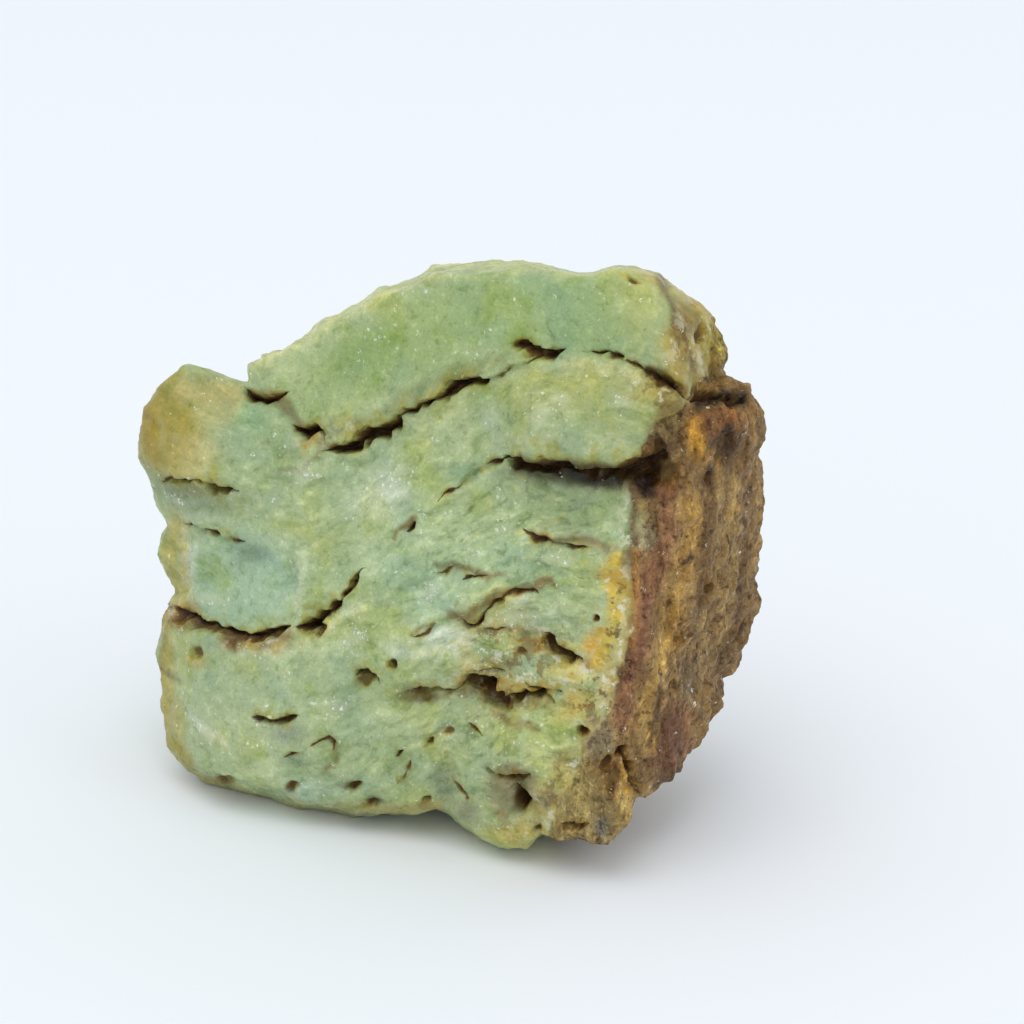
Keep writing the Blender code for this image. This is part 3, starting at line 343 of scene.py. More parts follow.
# Pits: across, up, half length, half width, turned by, depth, darkness.
PITS = (
    (-10.5, 10.5, 0.6, 0.45, 0, 1.2, 0.9),
    (-6.3, 6.7, 1, 0.6, 25, 0.35, 0.1),
    (-4.1, 7.9, 0.35, 0.35, 0, 0.8, 0.8),
    (2.6, 6.1, 0.8, 0.45, 0, 0.9, 0.9),
    (5.2, 8.5, 0.4, 0.3, 0, 0.6, 0.7),
    (10.9, 11.1, 0.3, 0.3, 0, 0.6, 0.9),
    (9.9, 2.7, 0.42, 0.4, 0, 1, 0.95),
    (5.3, -2.6, 0.6, 0.65, 0, 1.6, 1),
    (6.7, -4.8, 0.35, 0.3, 0, 0.6, 0.9),
    (9.4, -4.4, 0.75, 0.3, 10, 1, 1),
    (-7.2, -1.5, 0.5, 0.3, 20, 0.8, 0.75),
    (-5.8, -2.8, 0.5, 0.4, 0, 0.8, 0.75),
    (-1.8, -2.8, 0.35, 0.3, 0, 0.5, 0.6),
    (-11.9, -1.7, 0.45, 0.3, 20, 0.6, 0.75),
    (-16.8, -1, 0.6, 0.3, -15, 0.5, 0.6),
    (-18.9, 8.4, 0.5, 0.4, 0, 0.5, 0.45),
    (15.8, 21.9, 1.6, 0.9, -8, 0.9, 0.65),
    (15.9, 23.8, 0.3, 0.7, 0, 0.7, 0.75),
    (19.7, 21.7, 0.4, 0.75, 0, 0.7, 0.8),
    (20.9, 24.4, 0.8, 0.6, 40, 0.6, 0.7),
    (20.3, 23.3, 0.4, 0.7, -20, 0.6, 0.7),
    (11.8, 0.3, 0.4, 0.6, 0, 0.8, 0.85),
    (12.9, 1.1, 0.6, 0.35, 50, 0.8, 0.85),
    (12.3, -1.1, 0.4, 1, -15, 0.5, 0.6),
    (18.8, 32.5, 0.35, 0.55, 0, 0.6, 0.75),
    (13.8, 36.4, 0.6, 0.25, -15, 0.4, 0.6),
    (19.6, 13.3, 0.5, 0.6, 0, 0.6, 0.7),
    (17.1, 9.5, 0.35, 0.45, 0, 0.5, 0.6),
    (-0.2, 2.6, 0.35, 0.3, 0, 0.4, 0.6),
    (-1.6, 1.7, 0.4, 0.25, 30, 0.5, 0.7),
)

# Border between the green face and the weathered side on the drawing plane: up, across.
BORDER = (
    (-8, 7.2), (-4, 7.8), (-1.5, 8.8), (1, 10.2), (3, 11.2), (5, 12), (10, 13.6),
    (21, 13.8), (23, 14.2), (25.2, 15.2), (26.6, 16.8), (28, 18.2), (30, 19.2), (38, 20),
)

# Colour zones, each laid over those before it: across, up, half length, half width, turned by, colour,
# strength, flatness.
ZONES = (
    # cap
    (-3.8, 31.6, 10.1, 3, 27, (147, 168, 108), 0.8, 3),
    (8.2, 33.8, 8.6, 3.4, 0, (150, 174, 120), 0.8, 3),
    (-6, 31.4, 2.6, 1.8, 20, (140, 164, 96), 0.6, 2),
    (10.4, 32.6, 2.8, 1.2, -12, (132, 156, 104), 0.6, 2),
    (14.8, 34.6, 2.2, 3, -15, (174, 178, 110), 0.75, 2),
    (18.6, 32.6, 2.4, 3.8, -20, (152, 134, 50), 0.97, 4),
    (17, 33, 0.4, 2.4, 12, (112, 90, 40), 0.85, 2),
    (20, 30, 1.4, 1.6, 0, (134, 108, 46), 0.85, 2),
    (18, 29.2, 1.2, 1, -30, (150, 132, 62), 0.8, 2),
    # second layer
    (4.2, 27.2, 5.2, 2.4, 10, (150, 166, 118), 0.7, 2),
    (10.6, 27, 4.4, 2.6, -4, (156, 166, 110), 0.7, 2),
    (9.8, 29.2, 3.6, 0.9, -6, (180, 180, 112), 0.6, 2),
    (14.8, 28.2, 1.8, 1.4, -20, (152, 146, 78), 0.8, 2),
    (16.2, 25, 1.5, 1.6, 0, (112, 90, 58), 0.9, 3),
    (16.3, 27.7, 1.2, 0.9, 0, (126, 108, 50), 0.85, 2),
    # left knob
    (-21.4, 25.4, 2.8, 4.5, 8, (154, 142, 56), 0.97, 4),
    (-20.6, 28.6, 2.4, 1, -20, (178, 166, 106), 0.6, 2),
    (-22.6, 24.6, 1, 2.6, 0, (148, 126, 46), 0.7, 2),
    (-17.4, 28.2, 2.2, 1.2, -15, (172, 160, 96), 0.85, 3),
    (-19.2, 23.4, 2, 1.6, 0, (172, 166, 112), 0.8, 2),
    (-17.6, 27, 1.8, 1.6, -20, (168, 166, 108), 0.8, 2),
    (-14.6, 26.2, 1.6, 1.5, 0, (138, 168, 124), 0.8, 2),
    # middle
    (-1.5, 15.4, 8.6, 6.8, 20, (170, 190, 146), 0.6, 2),
    (-5.2, 20.4, 2.6, 1.5, 40, (198, 211, 184), 0.8, 2),
    (-8.6, 17.6, 2.2, 1.4, 20, (160, 172, 112), 0.5, 2),
    (-2, 21.6, 1.6, 1.2, 30, (142, 164, 112), 0.55, 2),
    (1.1, 22.2, 1.3, 0.7, 20, (126, 156, 120), 0.7, 3),
    (-0.6, 12.6, 3, 1.5, 15, (184, 202, 158), 0.6, 2),
    (4.4, 12.6, 1.7, 0.9, 22, (196, 206, 174), 0.7, 3),
    (8.4, 19.4, 6, 1.6, 0, (150, 168, 122), 0.6, 2),
    # painted shade under the overhang of the second layer, with dark dirt in the recess
    (8.8, 21.8, 4.8, 0.9, -2, (124, 130, 92), 0.6, 2),
    (10.4, 22, 5.4, 0.95, -3, (58, 44, 28), 0.9, 3),
    (8.6, 14.2, 3.6, 1.6, -10, (150, 172, 124), 0.55, 2),
    (11.8, 18.4, 1.6, 1.8, 0, (184, 198, 142), 0.75, 2),
    (3.6, 15.6, 2.2, 1.2, 0, (180, 198, 152), 0.65, 2),
    (-1.6, 9.3, 3.2, 1.3, 10, (206, 216, 196), 0.9, 3),
    (-3.6, 9.6, 2.2, 0.9, 0, (178, 190, 126), 0.5, 2),
    # smooth face, shelf and rind on the left
    (-15.5, 13.8, 4.2, 4.3, 0, (163, 187, 154), 0.9, 5),
    (-14.9, 16, 1.2, 1, 0, (100, 120, 92), 0.6, 2),
    (-18.2, 19.8, 3.4, 1.2, -4, (140, 154, 124), 0.8, 3),
    (-18.6, 18.6, 2.2, 0.5, -8, (174, 188, 158), 0.6, 2),
    # painted shade just below the crack under the knob
    (-19.8, 20.6, 2.6, 0.5, 0, (120, 122, 90), 0.6, 2),
    (-20.4, 11.4, 1.6, 1.1, 0, (122, 86, 44), 0.9, 3),
    (-20.8, 11.8, 0.6, 0.5, 0, (196, 184, 164), 0.8, 2),
    # lower left block
    (-15.4, 4.6, 6.2, 5.2, -5, (160, 176, 138), 0.6, 2),
    (-18.9, 7.9, 0.8, 0.6, 0, (176, 164, 88), 0.8, 2),
    # painted shade in the dip under the lower left crack
    (-12.2, 2.4, 1.2, 0.6, 0, (132, 138, 120), 0.6, 2),
    (-11.6, 0.5, 0.9, 0.5, 0, (104, 124, 94), 0.7, 2),
    (-10.2, -1.5, 3.2, 1, 0, (166, 184, 152), 0.8, 2),
    (-3.2, 0.2, 2, 1.8, 0, (142, 164, 130), 0.6, 2),
    # cavity
    (-1.9, 5.5, 1.7, 0.6, 0, (136, 122, 84), 0.85, 2),
    (3, 5.7, 2.8, 1.1, -6, (118, 104, 66), 0.8, 3),
    (7, 5.6, 1, 0.5, -20, (104, 92, 52), 0.8, 2),
    (7.4, 9.2, 1.7, 0.9, -45, (120, 118, 84), 0.7, 2),
    (8.7, 7, 1.8, 1, -15, (200, 190, 116), 0.9, 3),
    (1.6, 11.2, 1.4, 0.8, 0, (120, 124, 82), 0.6, 2),
    # foot
    (6.6, 3, 4.2, 1.6, 5, (170, 186, 122), 0.8, 2),
    (5, -2, 2.6, 1.6, -10, (128, 120, 86), 0.85, 3),
    (9.2, -1, 1.6, 2, 0, (168, 152, 90), 0.85, 2),
    (8.2, -3.6, 2.4, 1, 0, (166, 150, 84), 0.85, 2),
    (4.6, -5.2, 3.2, 0.8, 0, (182, 180, 100), 0.8, 2),
    (-0.4, -1.4, 1, 1.8, 10, (112, 120, 90), 0.65, 2),
    (10.9, -3.4, 3.4, 2.4, 0, (160, 142, 90), 0.8, 3),
    (13, -2.2, 1, 2.6, 5, (184, 154, 90), 0.92, 3),
    (12.2, -0.8, 0.45, 1.5, -15, (94, 54, 34), 0.85, 2),
    (11, 2, 1.3, 1.6, 8, (150, 134, 98), 0.92, 4),
    (11.3, -4.6, 0.5, 0.7, 0, (112, 112, 108), 0.8, 2),
    # border of the weathered side
    (12.2, 13.2, 0.8, 2.4, 4, (206, 168, 48), 0.9, 3),
    (11, 9.2, 1.2, 0.9, 30, (196, 150, 44), 0.9, 3),
    (10.4, 7.8, 0.9, 0.5, -20, (150, 88, 32), 0.85, 2),
    (9.6, 4.6, 1.6, 0.9, 30, (204, 180, 92), 0.8, 2),
    (13.1, 14.8, 0.4, 1, 0, (120, 76, 30), 0.8, 2),
    (11.9, 6.4, 0.9, 2.2, 4, (176, 160, 108), 0.8, 2),
    (14.6, 16.9, 1, 1.2, 0, (156, 146, 112), 0.9, 3),
    (15.3, 21.3, 1.8, 1.1, -6, (70, 48, 32), 0.9, 3),
    (15.8, 23.7, 0.9, 1.2, 0, (92, 68, 44), 0.8, 2),
    # weathered side
    (20.4, 24.8, 3.2, 3.2, 0, (118, 86, 48), 0.7, 3),
    (18.6, 24.6, 0.8, 2, 10, (198, 146, 48), 0.9, 2),
    (20.6, 26, 2, 1.2, 0, (150, 98, 46), 0.8, 2),
    (20.6, 24.2, 1.1, 1.4, 0, (60, 40, 26), 0.85, 2),
    (21, 8.6, 1.4, 4.4, -12, (98, 74, 52), 0.55, 2),
    (22.4, 24.8, 0.9, 1.8, 0, (150, 122, 74), 0.6, 2),
    (16.6, 2, 1.7, 3, -12, (122, 80, 56), 0.85, 3),
    (17, -0.8, 1.6, 0.9, 20, (96, 80, 62), 0.7, 2),
    (17.8, 6.4, 0.8, 1.6, 0, (122, 112, 92), 0.6, 2),
    # dark patches in the hollows at the right end of the layers
    (15.3, 21.2, 1.2, 0.9, 0, (40, 31, 26), 0.95, 3),
    (19.6, 21.5, 0.6, 1, 0, (46, 32, 22), 0.9, 3),
    (20.3, 24.3, 1, 0.6, 40, (60, 42, 28), 0.85, 3),
    # brown places laid over the foot, the cavity and the right end
    (18.9, 9.4, 0.9, 2.2, 0, (178, 152, 104), 0.55, 2),
    (7.3, -2.2, 1.2, 0.9, -20, (124, 116, 92), 0.8, 3),
    (4.4, -0.8, 1.7, 0.7, -15, (112, 106, 72), 0.75, 2),
    (5.5, -2.5, 0.6, 0.8, 0, (56, 48, 36), 0.6, 3),
    (4, -3.5, 0.7, 0.4, 0, (140, 112, 70), 0.75, 2),
    (1.2, -3.4, 0.9, 0.8, -40, (120, 116, 94), 0.7, 2),
    (10.8, 2.1, 0.9, 1.5, 10, (168, 154, 118), 0.8, 2),
    (3.6, 6.4, 2.8, 1.1, -8, (124, 112, 70), 0.65, 2),
    (-2.4, 5.2, 1.4, 0.5, 0, (124, 116, 78), 0.7, 2),
    (3.2, 7.9, 2, 0.5, -10, (126, 116, 72), 0.7, 2),
    (6.6, 9.3, 1.8, 0.8, -30, (118, 110, 78), 0.65, 2),
    (5, 4.9, 2.6, 0.5, -5, (116, 98, 60), 0.7, 2),
    (17.7, 32.2, 0.9, 2.6, -15, (124, 102, 44), 0.75, 2),
    (16.2, 26.4, 1.1, 1.8, 5, (130, 110, 60), 0.82, 2),
    # dirt spots along the bottom edge
    (-17, -1, 0.6, 0.3, -15, (84, 62, 36), 0.85, 3),
    (-12, -1.6, 0.5, 0.3, 0, (84, 62, 36), 0.85, 3),
    (-7.5, -1.3, 0.7, 0.3, 15, (78, 58, 34), 0.85, 3),
    (-5.8, -2.7, 0.6, 0.35, 0, (70, 52, 32), 0.85, 3),
    (-1.8, -2.8, 0.6, 0.3, 0, (78, 58, 34), 0.85, 3),
)

# Colour streaks: half width, colour, strength, points across and up.
STREAKS = (
    # pale rim along the top, painted light shining through the thin edge, then ochre at its right end
    (0.55, (196, 200, 138), 0.75, (
        (-15, 29.9), (-11.2, 32), (-7.5, 34.5), (-3.8, 36.2), (-0.8, 37.5), (3.8, 37.7),
        (8.2, 37.2), (11.2, 37.1), (14.2, 37.3), (17.2, 35.8))),
    (0.5, (178, 160, 78), 0.6, ((14, 37.2), (17.2, 35.8), (19.5, 33.6), (20.6, 30.4))),
    # rind on the left
    (0.9, (168, 162, 96), 0.9, ((-20.6, 18.4), (-21.1, 15.4), (-20.4, 12.8))),
    (0.25, (196, 182, 140), 0.7, ((-19.8, 17.6), (-19.8, 15.4), (-19.7, 13.6))),
    (0.65, (160, 148, 74), 0.9, ((-21.2, 10.4), (-21.4, 6.5), (-21.1, 1.9), (-19.8, -0.2))),
    (0.4, (172, 156, 84), 0.5, ((-20.6, 8.8), (-20.7, 5.5), (-20.2, 1.4))),
    (0.5, (156, 146, 92), 0.75, (
        (-19.5, -0.5), (-15.8, -2), (-11.2, -3.2), (-6, -3.5), (-0.8, -3))),
    (0.2, (90, 76, 46), 0.6, ((-21.7, 7.2), (-20.9, 6.7), (-20.1, 6.4))),
    # bands of the weathered side
    (0.85, (150, 106, 72), 0.95, (
        (16.4, 21), (16.2, 18.4), (15.6, 15.8), (14.9, 13.9), (14.5, 12.3), (14.2, 10.6),
        (13.7, 7.9), (13.2, 5.7), (12.9, 3.4))),
    (0.35, (128, 86, 66), 0.7, ((14.8, 12.4), (14.3, 9.6), (13.8, 6.8))),
    # near-black painted shade deep in the slot on top of the weathered block
    (0.55, (24, 18, 14), 1, ((18.7, 27.4), (20.2, 27.8), (22, 27.4))),
    # dark line along the crack at the right end of the cap
    (0.4, (40, 32, 26), 0.95, ((15, 29.9), (16, 29.3), (17.3, 28.2))),
    # painted shade along the recess under the second layer, with dark dirt in it
    (0.58, (42, 38, 32), 0.92, ((5.6, 22.6), (7.4, 22.3), (8.9, 21.9), (10.8, 21.5), (12.8, 21.6))),
    (0.4, (116, 98, 56), 0.85, (
        (0.3, 11.6), (1.4, 11.2), (2.6, 11.9), (3.9, 12.8), (5.5, 13.4), (7.4, 13.6))),
    (0.3, (122, 108, 66), 0.85, ((2.8, 10.5), (3.9, 10.2), (5.1, 9.9))),
    (0.3, (128, 112, 78), 0.8, ((6, 17.5), (8.4, 16.9), (10.4, 16.5), (12.2, 16.1))),
    (0.22, (130, 124, 66), 0.8, ((-2.8, 10), (-2, 10.4), (-1.2, 10.7))),
    (0.25, (126, 120, 74), 0.75, ((-0.8, 14.9), (0.6, 15.1), (1.6, 14.6), (2.8, 14.4))),
    (0.2, (120, 92, 48), 0.8, ((-4.1, 16.8), (-3.4, 17.6), (-2.7, 18.4))),
    (0.4, (104, 80, 40), 0.75, ((15.6, 36.6), (16.8, 34.8), (17.8, 32.2), (18.2, 29.6))),
    (0.75, (184, 144, 72), 0.85, ((18.3, 19.6), (17.6, 15.4), (17, 12.1), (16.2, 9))),
    (0.6, (192, 156, 84), 0.85, ((16.3, 10.2), (15.6, 7.2), (15.1, 4.6), (14.8, 2))),
    (0.25, (70, 46, 30), 0.8, ((15.9, 5.4), (15.2, 3.6), (14.8, 1.8))),
    (0.75, (146, 118, 70), 0.6, ((20.6, 22.2), (20.2, 15.4), (19.4, 10.9))),
    (0.5, (104, 78, 48), 0.6, ((19.3, 21.4), (19, 15.4), (18.4, 9.4))),
    (0.4, (112, 84, 54), 0.6, ((22.2, 22.4), (22.2, 16.4), (21.4, 10.4))),
    (0.35, (172, 144, 88), 0.6, ((21.5, 21.4), (21.3, 15.4), (20.4, 9.4))),
    (0.35, (112, 82, 46), 0.8, (
        (13.9, 21), (13.6, 18.4), (13.6, 15.4), (13.6, 12.4), (13.1, 9.4), (12.6, 6.5))),
    (0.35, (206, 188, 126), 0.7, ((13, 13.4), (12.9, 10.4), (12.5, 8))),
    (0.5, (204, 176, 64), 0.9, ((12.5, 15.4), (12.4, 12.8), (12.1, 10.6), (11.4, 8.8), (10.9, 7.8))),
    # edges and stains of the green face, with painted highlights on some edges
    # painted highlights on the lit edge of the step right of the smooth face, and on its left edge
    (0.28, (192, 204, 166), 0.8, ((-11.2, 16.1), (-11.2, 13.6), (-11.4, 11.5))),
    (0.28, (188, 200, 172), 0.7, ((-19.4, 16.4), (-19.4, 12.6))),
    (0.55, (132, 108, 68), 0.9, ((-16.6, 9.2), (-15, 8.9), (-13, 9.2), (-12, 9.8))),
    (0.6, (128, 136, 80), 0.6, ((-9, 25), (-4.5, 26.6), (0, 29.6), (3.8, 30.6))),
    (0.18, (140, 130, 78), 0.6, ((-12.6, 22.3), (-11.4, 22.5), (-10.4, 22.9), (-9.4, 23.6))),
    (0.5, (182, 190, 142), 0.5, ((1.5, 24), (5.2, 24.4), (9.8, 24.3), (13.2, 24.2))),
    (0.45, (124, 110, 66), 0.8, ((-14.6, 27.6), (-12.9, 27.7), (-12, 26.8), (-11, 25.6), (-9.9, 24.9))),
    (0.3, (112, 92, 52), 0.8, ((-10.2, 24.8), (-9.4, 24.1), (-8.4, 23.7))),
    # painted highlight along the top edge of the second layer
    (0.4, (206, 200, 142), 0.7, ((8.2, 30.6), (11.2, 30.2), (14.2, 29.4))),
    (0.3, (204, 210, 184), 0.8, ((-19.6, 4), (-18.4, 2.9), (-17.2, 1.6))),
    # painted highlight along the top edge of the lower left block
    (0.4, (188, 200, 160), 0.7, ((-15.6, 8.4), (-12, 8.6), (-9, 10.6), (-6.2, 13.4))),
    (0.3, (186, 132, 62), 0.5, ((14, 15.8), (14, 12.4), (13.4, 9.4))),
    (0.22, (122, 108, 58), 0.8, ((-8.6, 1.6), (-8.4, 0.6), (-9.2, -0.2))),
    (0.25, (128, 112, 62), 0.7, ((1.3, 14.8), (2.6, 14.2), (4, 14.8))),
    (0.22, (116, 98, 56), 0.7, ((6.4, 13.8), (7.4, 13.6), (8.2, 13))),
    (0.25, (110, 94, 52), 0.7, ((2.3, 10.3), (3.6, 10), (5.2, 9.9))),
    (0.25, (122, 104, 60), 0.7, ((3.2, 4), (4.6, 3.2), (6.4, 3))),
)

# Yellow, brown and cream stains: across, up, half length, half width, turned by, strength.
STAINS = (
    (18.6, 32.4, 2.4, 3.8, -20, 0.45),  # end of the cap
    (15.2, 27.8, 2.2, 1.6, -20, 0.55),  # end of the second layer
    (12.4, 11.5, 1.5, 4.6, 3, 0.85),    # along the weathered side
    (13.2, 18, 0.7, 2.6, 0, 0.7),
    (10.8, 5.6, 2.4, 2.8, 10, 0.8),
    (9.6, -2, 3.4, 3.6, 0, 0.7),        # foot
    (5.5, -4.8, 3.6, 1.2, 0, 0.4),
    (5.4, 7.4, 5.2, 3.8, -5, 0.6),      # cavity
    (-21.2, 25.4, 2.2, 4, 8, 0.08),     # knob
    (-20.6, 11.5, 1.6, 1.4, 0, 0.5),    # round the smooth face
    (-14.4, 9.2, 3.4, 0.7, 0, 0.5),
    (-9.4, 24.6, 3, 0.8, 20, 0.45),     # below the cap
)

# Sugary white spots: across, up, half length, half width, turned by.
SUGAR = (
    (-4.6, 20.8, 2, 1.3, 40),
    (-3.1, 22.3, 0.9, 0.6, 30),
    (3, 25.8, 0.67, 1.05, 10),
    (6.6, 26.1, 0.9, 1.05, 0),
    (-8.6, 25.1, 0.38, 0.38, 0),
    (12.8, 29.8, 0.67, 0.3, 0),
    (12.8, 27.4, 0.45, 0.38, 0),
    (10.3, 23.9, 0.38, 0.3, 0),
    (-18.4, 2.9, 1.5, 0.45, -45),
    (-14.1, 3.1, 0.53, 0.38, 0),
    (-20.8, 11.8, 0.53, 0.45, 0),
    (2.7, 7.1, 0.45, 0.3, 0),
    (4.3, 5.9, 0.38, 0.38, 0),
    (4.9, 10.9, 1.95, 0.75, 20),
    (18.2, 5.2, 0.5, 0.9, 0),
    (-1.5, 13.2, 1.2, 0.75, 20),
    (-11.2, 22.2, 1.05, 0.75, 0),
    (7.9, 15.4, 1.35, 0.75, -10),
    (-6.8, 9.4, 1.2, 0.67, 20),
    (-9, 4.6, 1.35, 0.75, 10),
    (0, 2.3, 1.05, 0.6, 0),
    (8.2, 27.4, 1.05, 0.67, 0),
    (-17.6, 12.4, 1.35, 0.45, -5),
    (-20.6, 19.9, 1.05, 0.45, 0),
    (5.2, 1.6, 1.2, 0.53, 0),
)

# ---------------------------------------------------------------- plain helpers
def unit(turn, lift):
    """Direction turned from the front towards the weathered side and raised."""
    return np.array((math.sin(turn) * math.cos(lift), -math.cos(turn) * math.cos(lift), math.sin(lift)))


TOWARD = unit(TURN, LIFT)
ACROSS = np.array((math.cos(TURN), math.sin(TURN), 0.0))
UP = np.cross(TOWARD, ACROSS)
CENTRES = (np.arange(RIM_STEPS) + 0.5) / RIM_STEPS * 2.0 * math.pi - math.pi


def ease(low, high, value):
    """Smooth step from 0 at low to 1 at high."""
    t = np.clip((value - low) / (high - low), 0.0, 1.0)
    return t * t * (3.0 - 2.0 * t)


def on_drawing(points):
    """Across and up of points on the drawing plane, and the size of a millimetre there."""
    zoom = STAND / (STAND - points @ TOWARD)
    across = AIM[0] + (points @ ACROSS - AIM[0]) * zoom
    up = AIM[1] + (points @ UP - AIM[1]) * zoom
    return across, up, zoom


def noise(points, size, seed):
    """Smooth random value from about -1 to 1 that changes over the given size."""
    rng = np.random.RandomState(seed)
    table = rng.permutation(256)
    arrows = rng.normal(size=(256, 3))
    arrows /= np.linalg.norm(arrows, axis=1)[:, None]
    scaled = points / size + rng.uniform(0.0, 99.0, 3)
    cell = np.floor(scaled).astype(np.int64)
    part = scaled - cell
    fade = part * part * part * (part * (part * 6.0 - 15.0) + 10.0)
    total = np.zeros(len(points))
    for corner in range(8):
        step = np.array((corner & 1, corner >> 1 & 1, corner >> 2 & 1))
        at = (cell + step) & 255
        pick = table[(table[(table[at[:, 0]] + at[:, 1]) & 255] + at[:, 2]) & 255]
        share = np.prod(np.where(step == 1, fade, 1.0 - fade), axis=1)
        total += share * np.sum(arrows[pick] * (part - step), axis=1)
    return total * 1.6


def wavering(points, waves):
    """Across and up of points, shifted by waves: size of the shift, size of the wave, two seeds."""
    across, up, _ = on_drawing(points)
    for shift, size, across_seed, up_seed in waves:
        across = across + shift * noise(points, size, SEED + across_seed)
        up = up + shift * noise(points, size, SEED + up_seed)
    return across, up


def ellipses(across, up, rows):
    """For each row of a table of turned ellipses: how far the points lie from its middle, with 1 on
    its rim, and what the row holds after the ellipse."""
    for at_across, at_up, long_half, short_half, turned, *rest in rows:
        c = math.cos(math.radians(turned))
        s = math.sin(math.radians(turned))
        dx = across - at_across
        dy = up - at_up
        yield np.hypot((dx * c + dy * s) / long_half, (dy * c - dx * s) / short_half), rest


def line_distance(across, up, line):
    """Distance to a line of points, which side of it (above is positive), the line's own half width
    there, and two shares that fall to 0 at its ends, the second one more gently."""
    best = np.full(len(across), 1e9)
    side = np.zeros(len(across))
    half = np.zeros(len(across))
    along = np.zeros(len(across))
    run = 0.0
    for start, stop in zip(line[:-1], line[1:]):
        dx = stop[0] - start[0]
        dy = stop[1] - start[1]
        length = math.hypot(dx, dy)
        t = np.clip(((across - start[0]) * dx + (up - start[1]) * dy) / length ** 2, 0.0, 1.0)
        gap = np.hypot(across - start[0] - t * dx, up - start[1] - t * dy)
        nearer = gap < best
        best = np.where(nearer, gap, best)
        side = np.where(nearer, (dx * (up - start[1]) - dy * (across - start[0])) / length, side)
        along = np.where(nearer, run + t * length, along)
        if len(start) > 2:
            half = np.where(nearer, start[2] + t * (stop[2] - start[2]), half)
        run += length
    along = np.minimum(along, run - along)
    taper = ease(0.0, min(0.9, 0.3 * run), along)
    return best, side, half, taper, ease(0.0, min(2.5, 0.3 * run), along)


def vertex_normals(points, faces):
    """Unit normals at the points of a mesh of triangles."""
    a = points[faces[:, 0]]
    cross = np.cross(points[faces[:, 1]] - a, points[faces[:, 2]] - a)
    total = np.zeros_like(points)
    for k in range(3):
        for axis in range(3):
            total[:, axis] += np.bincount(faces[:, k], weights=cross[:, axis], minlength=len(points))
    return total / np.linalg.norm(total, axis=1)[:, None]


# ---------------------------------------------------------------- shape
def ball(steps):
    """Directions, triangles and levels of a finely divided ball, denser towards the drawing side.

    A level holds the triangles so far and, for each of the points added next, the two it lies between.
    """
    mesh = bmesh.new()
    bmesh.ops.create_icosphere(mesh, subdivisions=4, radius=1.0)
    mesh.verts.ensure_lookup_table()
    points = np.array([v.co[:] for v in mesh.verts])
    faces = np.array([[v.index for v in f.verts] for f in mesh.faces])
    mesh.free()
    levels = []
    for _ in range(steps):
        edges = np.vstack((faces[:, (0, 1)], faces[:, (1, 2)], faces[:, (2, 0)]))
        edges.sort(axis=1)
        keys, back = np.unique(edges[:, 0] * len(points) + edges[:, 1], return_inverse=True)
        pairs = np.column_stack((keys // len(points), keys % len(points)))
        levels.append((faces, pairs))
        middle = points[pairs[:, 0]] + points[pairs[:, 1]]
        back = back.reshape(3, -1) + len(points)
        points = np.vstack((points, middle / np.linalg.norm(middle, axis=1)[:, None]))
        a, b, c = faces.T
        ab, bc, ca = back
        faces = np.vstack((np.column_stack((a, ab, ca)), np.column_stack((b, bc, ab)),
                           np.column_stack((c, ca, bc)), np.column_stack((ab, bc, ca))))
    points = points / np.linalg.norm(points, axis=1)[:, None] + DENSER * TOWARD
    return points / np.linalg.norm(points, axis=1)[:, None], faces, levels


def soft_normals(points, levels):
    """Normals that turn gently over edges: taken from a coarse level and passed on to the finer ones."""
    faces = levels[SOFT_LEVEL][0]
    normals = vertex_normals(points[:faces.max() + 1], faces)
    for _, pairs in levels[SOFT_LEVEL:]:
        normals = np.vstack((normals, 0.5 * (normals[pairs[:, 0]] + normals[pairs[:, 1]])))
    return normals / np.linalg.norm(normals, axis=1)[:, None]


def body(directions):
    """Push the ball's directions out to the rounded block bounded by FACES."""
    total = np.zeros(len(directions))
    for turned, raised, distance in FACES:
        normal = unit(math.radians(turned), math.radians(raised))
        total += np.maximum(directions @ normal / distance, 0.0) ** EDGE_POWER
    reach = total ** (-1.0 / EDGE_POWER)

    rng = np.random.RandomState(SEED)
    block = directions * reach[:, None]
    for _ in range(CHIPS):
        normal = rng.normal(size=3)
        normal /= np.linalg.norm(normal)
        depth = rng.uniform(*CHIP_DEPTH)
        if normal @ TOWARD > 0.30 or normal[2] < -0.9:
            continue
        distance = (block @ normal).max() - depth
        limit = distance / np.maximum(directions @ normal, 1e-6)
        reach = np.where(directions @ normal > 0.0, np.minimum(reach, limit), reach)
    return np.array(HEART) + directions * reach[:, None]


def spread(values, width, rule):
    """Rule, such as min or mean, over a window that moves round a closed list of values."""
    return rule([np.roll(values, shift) for shift in range(-width, width + 1)], axis=0)


def rim_of(points):
    """Where points lie round the heart on the drawing plane, and the rim of the piece there.

    Returns the angle and reach of each point, the rim's reach in each even step of angle, and how
    far behind the rim each point lies, as a share that grows from 0 at the rim to 1 well behind it.
    """
    across, up, _ = on_drawing(points)
    at_across, at_up, _ = on_drawing(np.array((HEART,)))
    dx = across - at_across[0]
    dy = up - at_up[0]
    angle = np.arctan2(dy, dx)
    reach = np.hypot(dx, dy)
    depth = points @ TOWARD
    slot = ((angle + math.pi) / (2.0 * math.pi) * RIM_STEPS).astype(int) % RIM_STEPS
    rim = np.zeros(RIM_STEPS)
    np.maximum.at(rim, slot, reach)
    outer = reach > 0.985 * rim[slot]
    count = np.bincount(slot[outer], minlength=RIM_STEPS)
    rim_depth = np.bincount(slot[outer], weights=depth[outer], minlength=RIM_STEPS) / np.maximum(count, 1)
    at_rim = np.interp(angle, CENTRES, spread(rim_depth, 8, np.mean), period=2.0 * math.pi)
    return angle, reach, spread(rim, 3, np.mean), ease(0.0, 6.0, at_rim - depth)


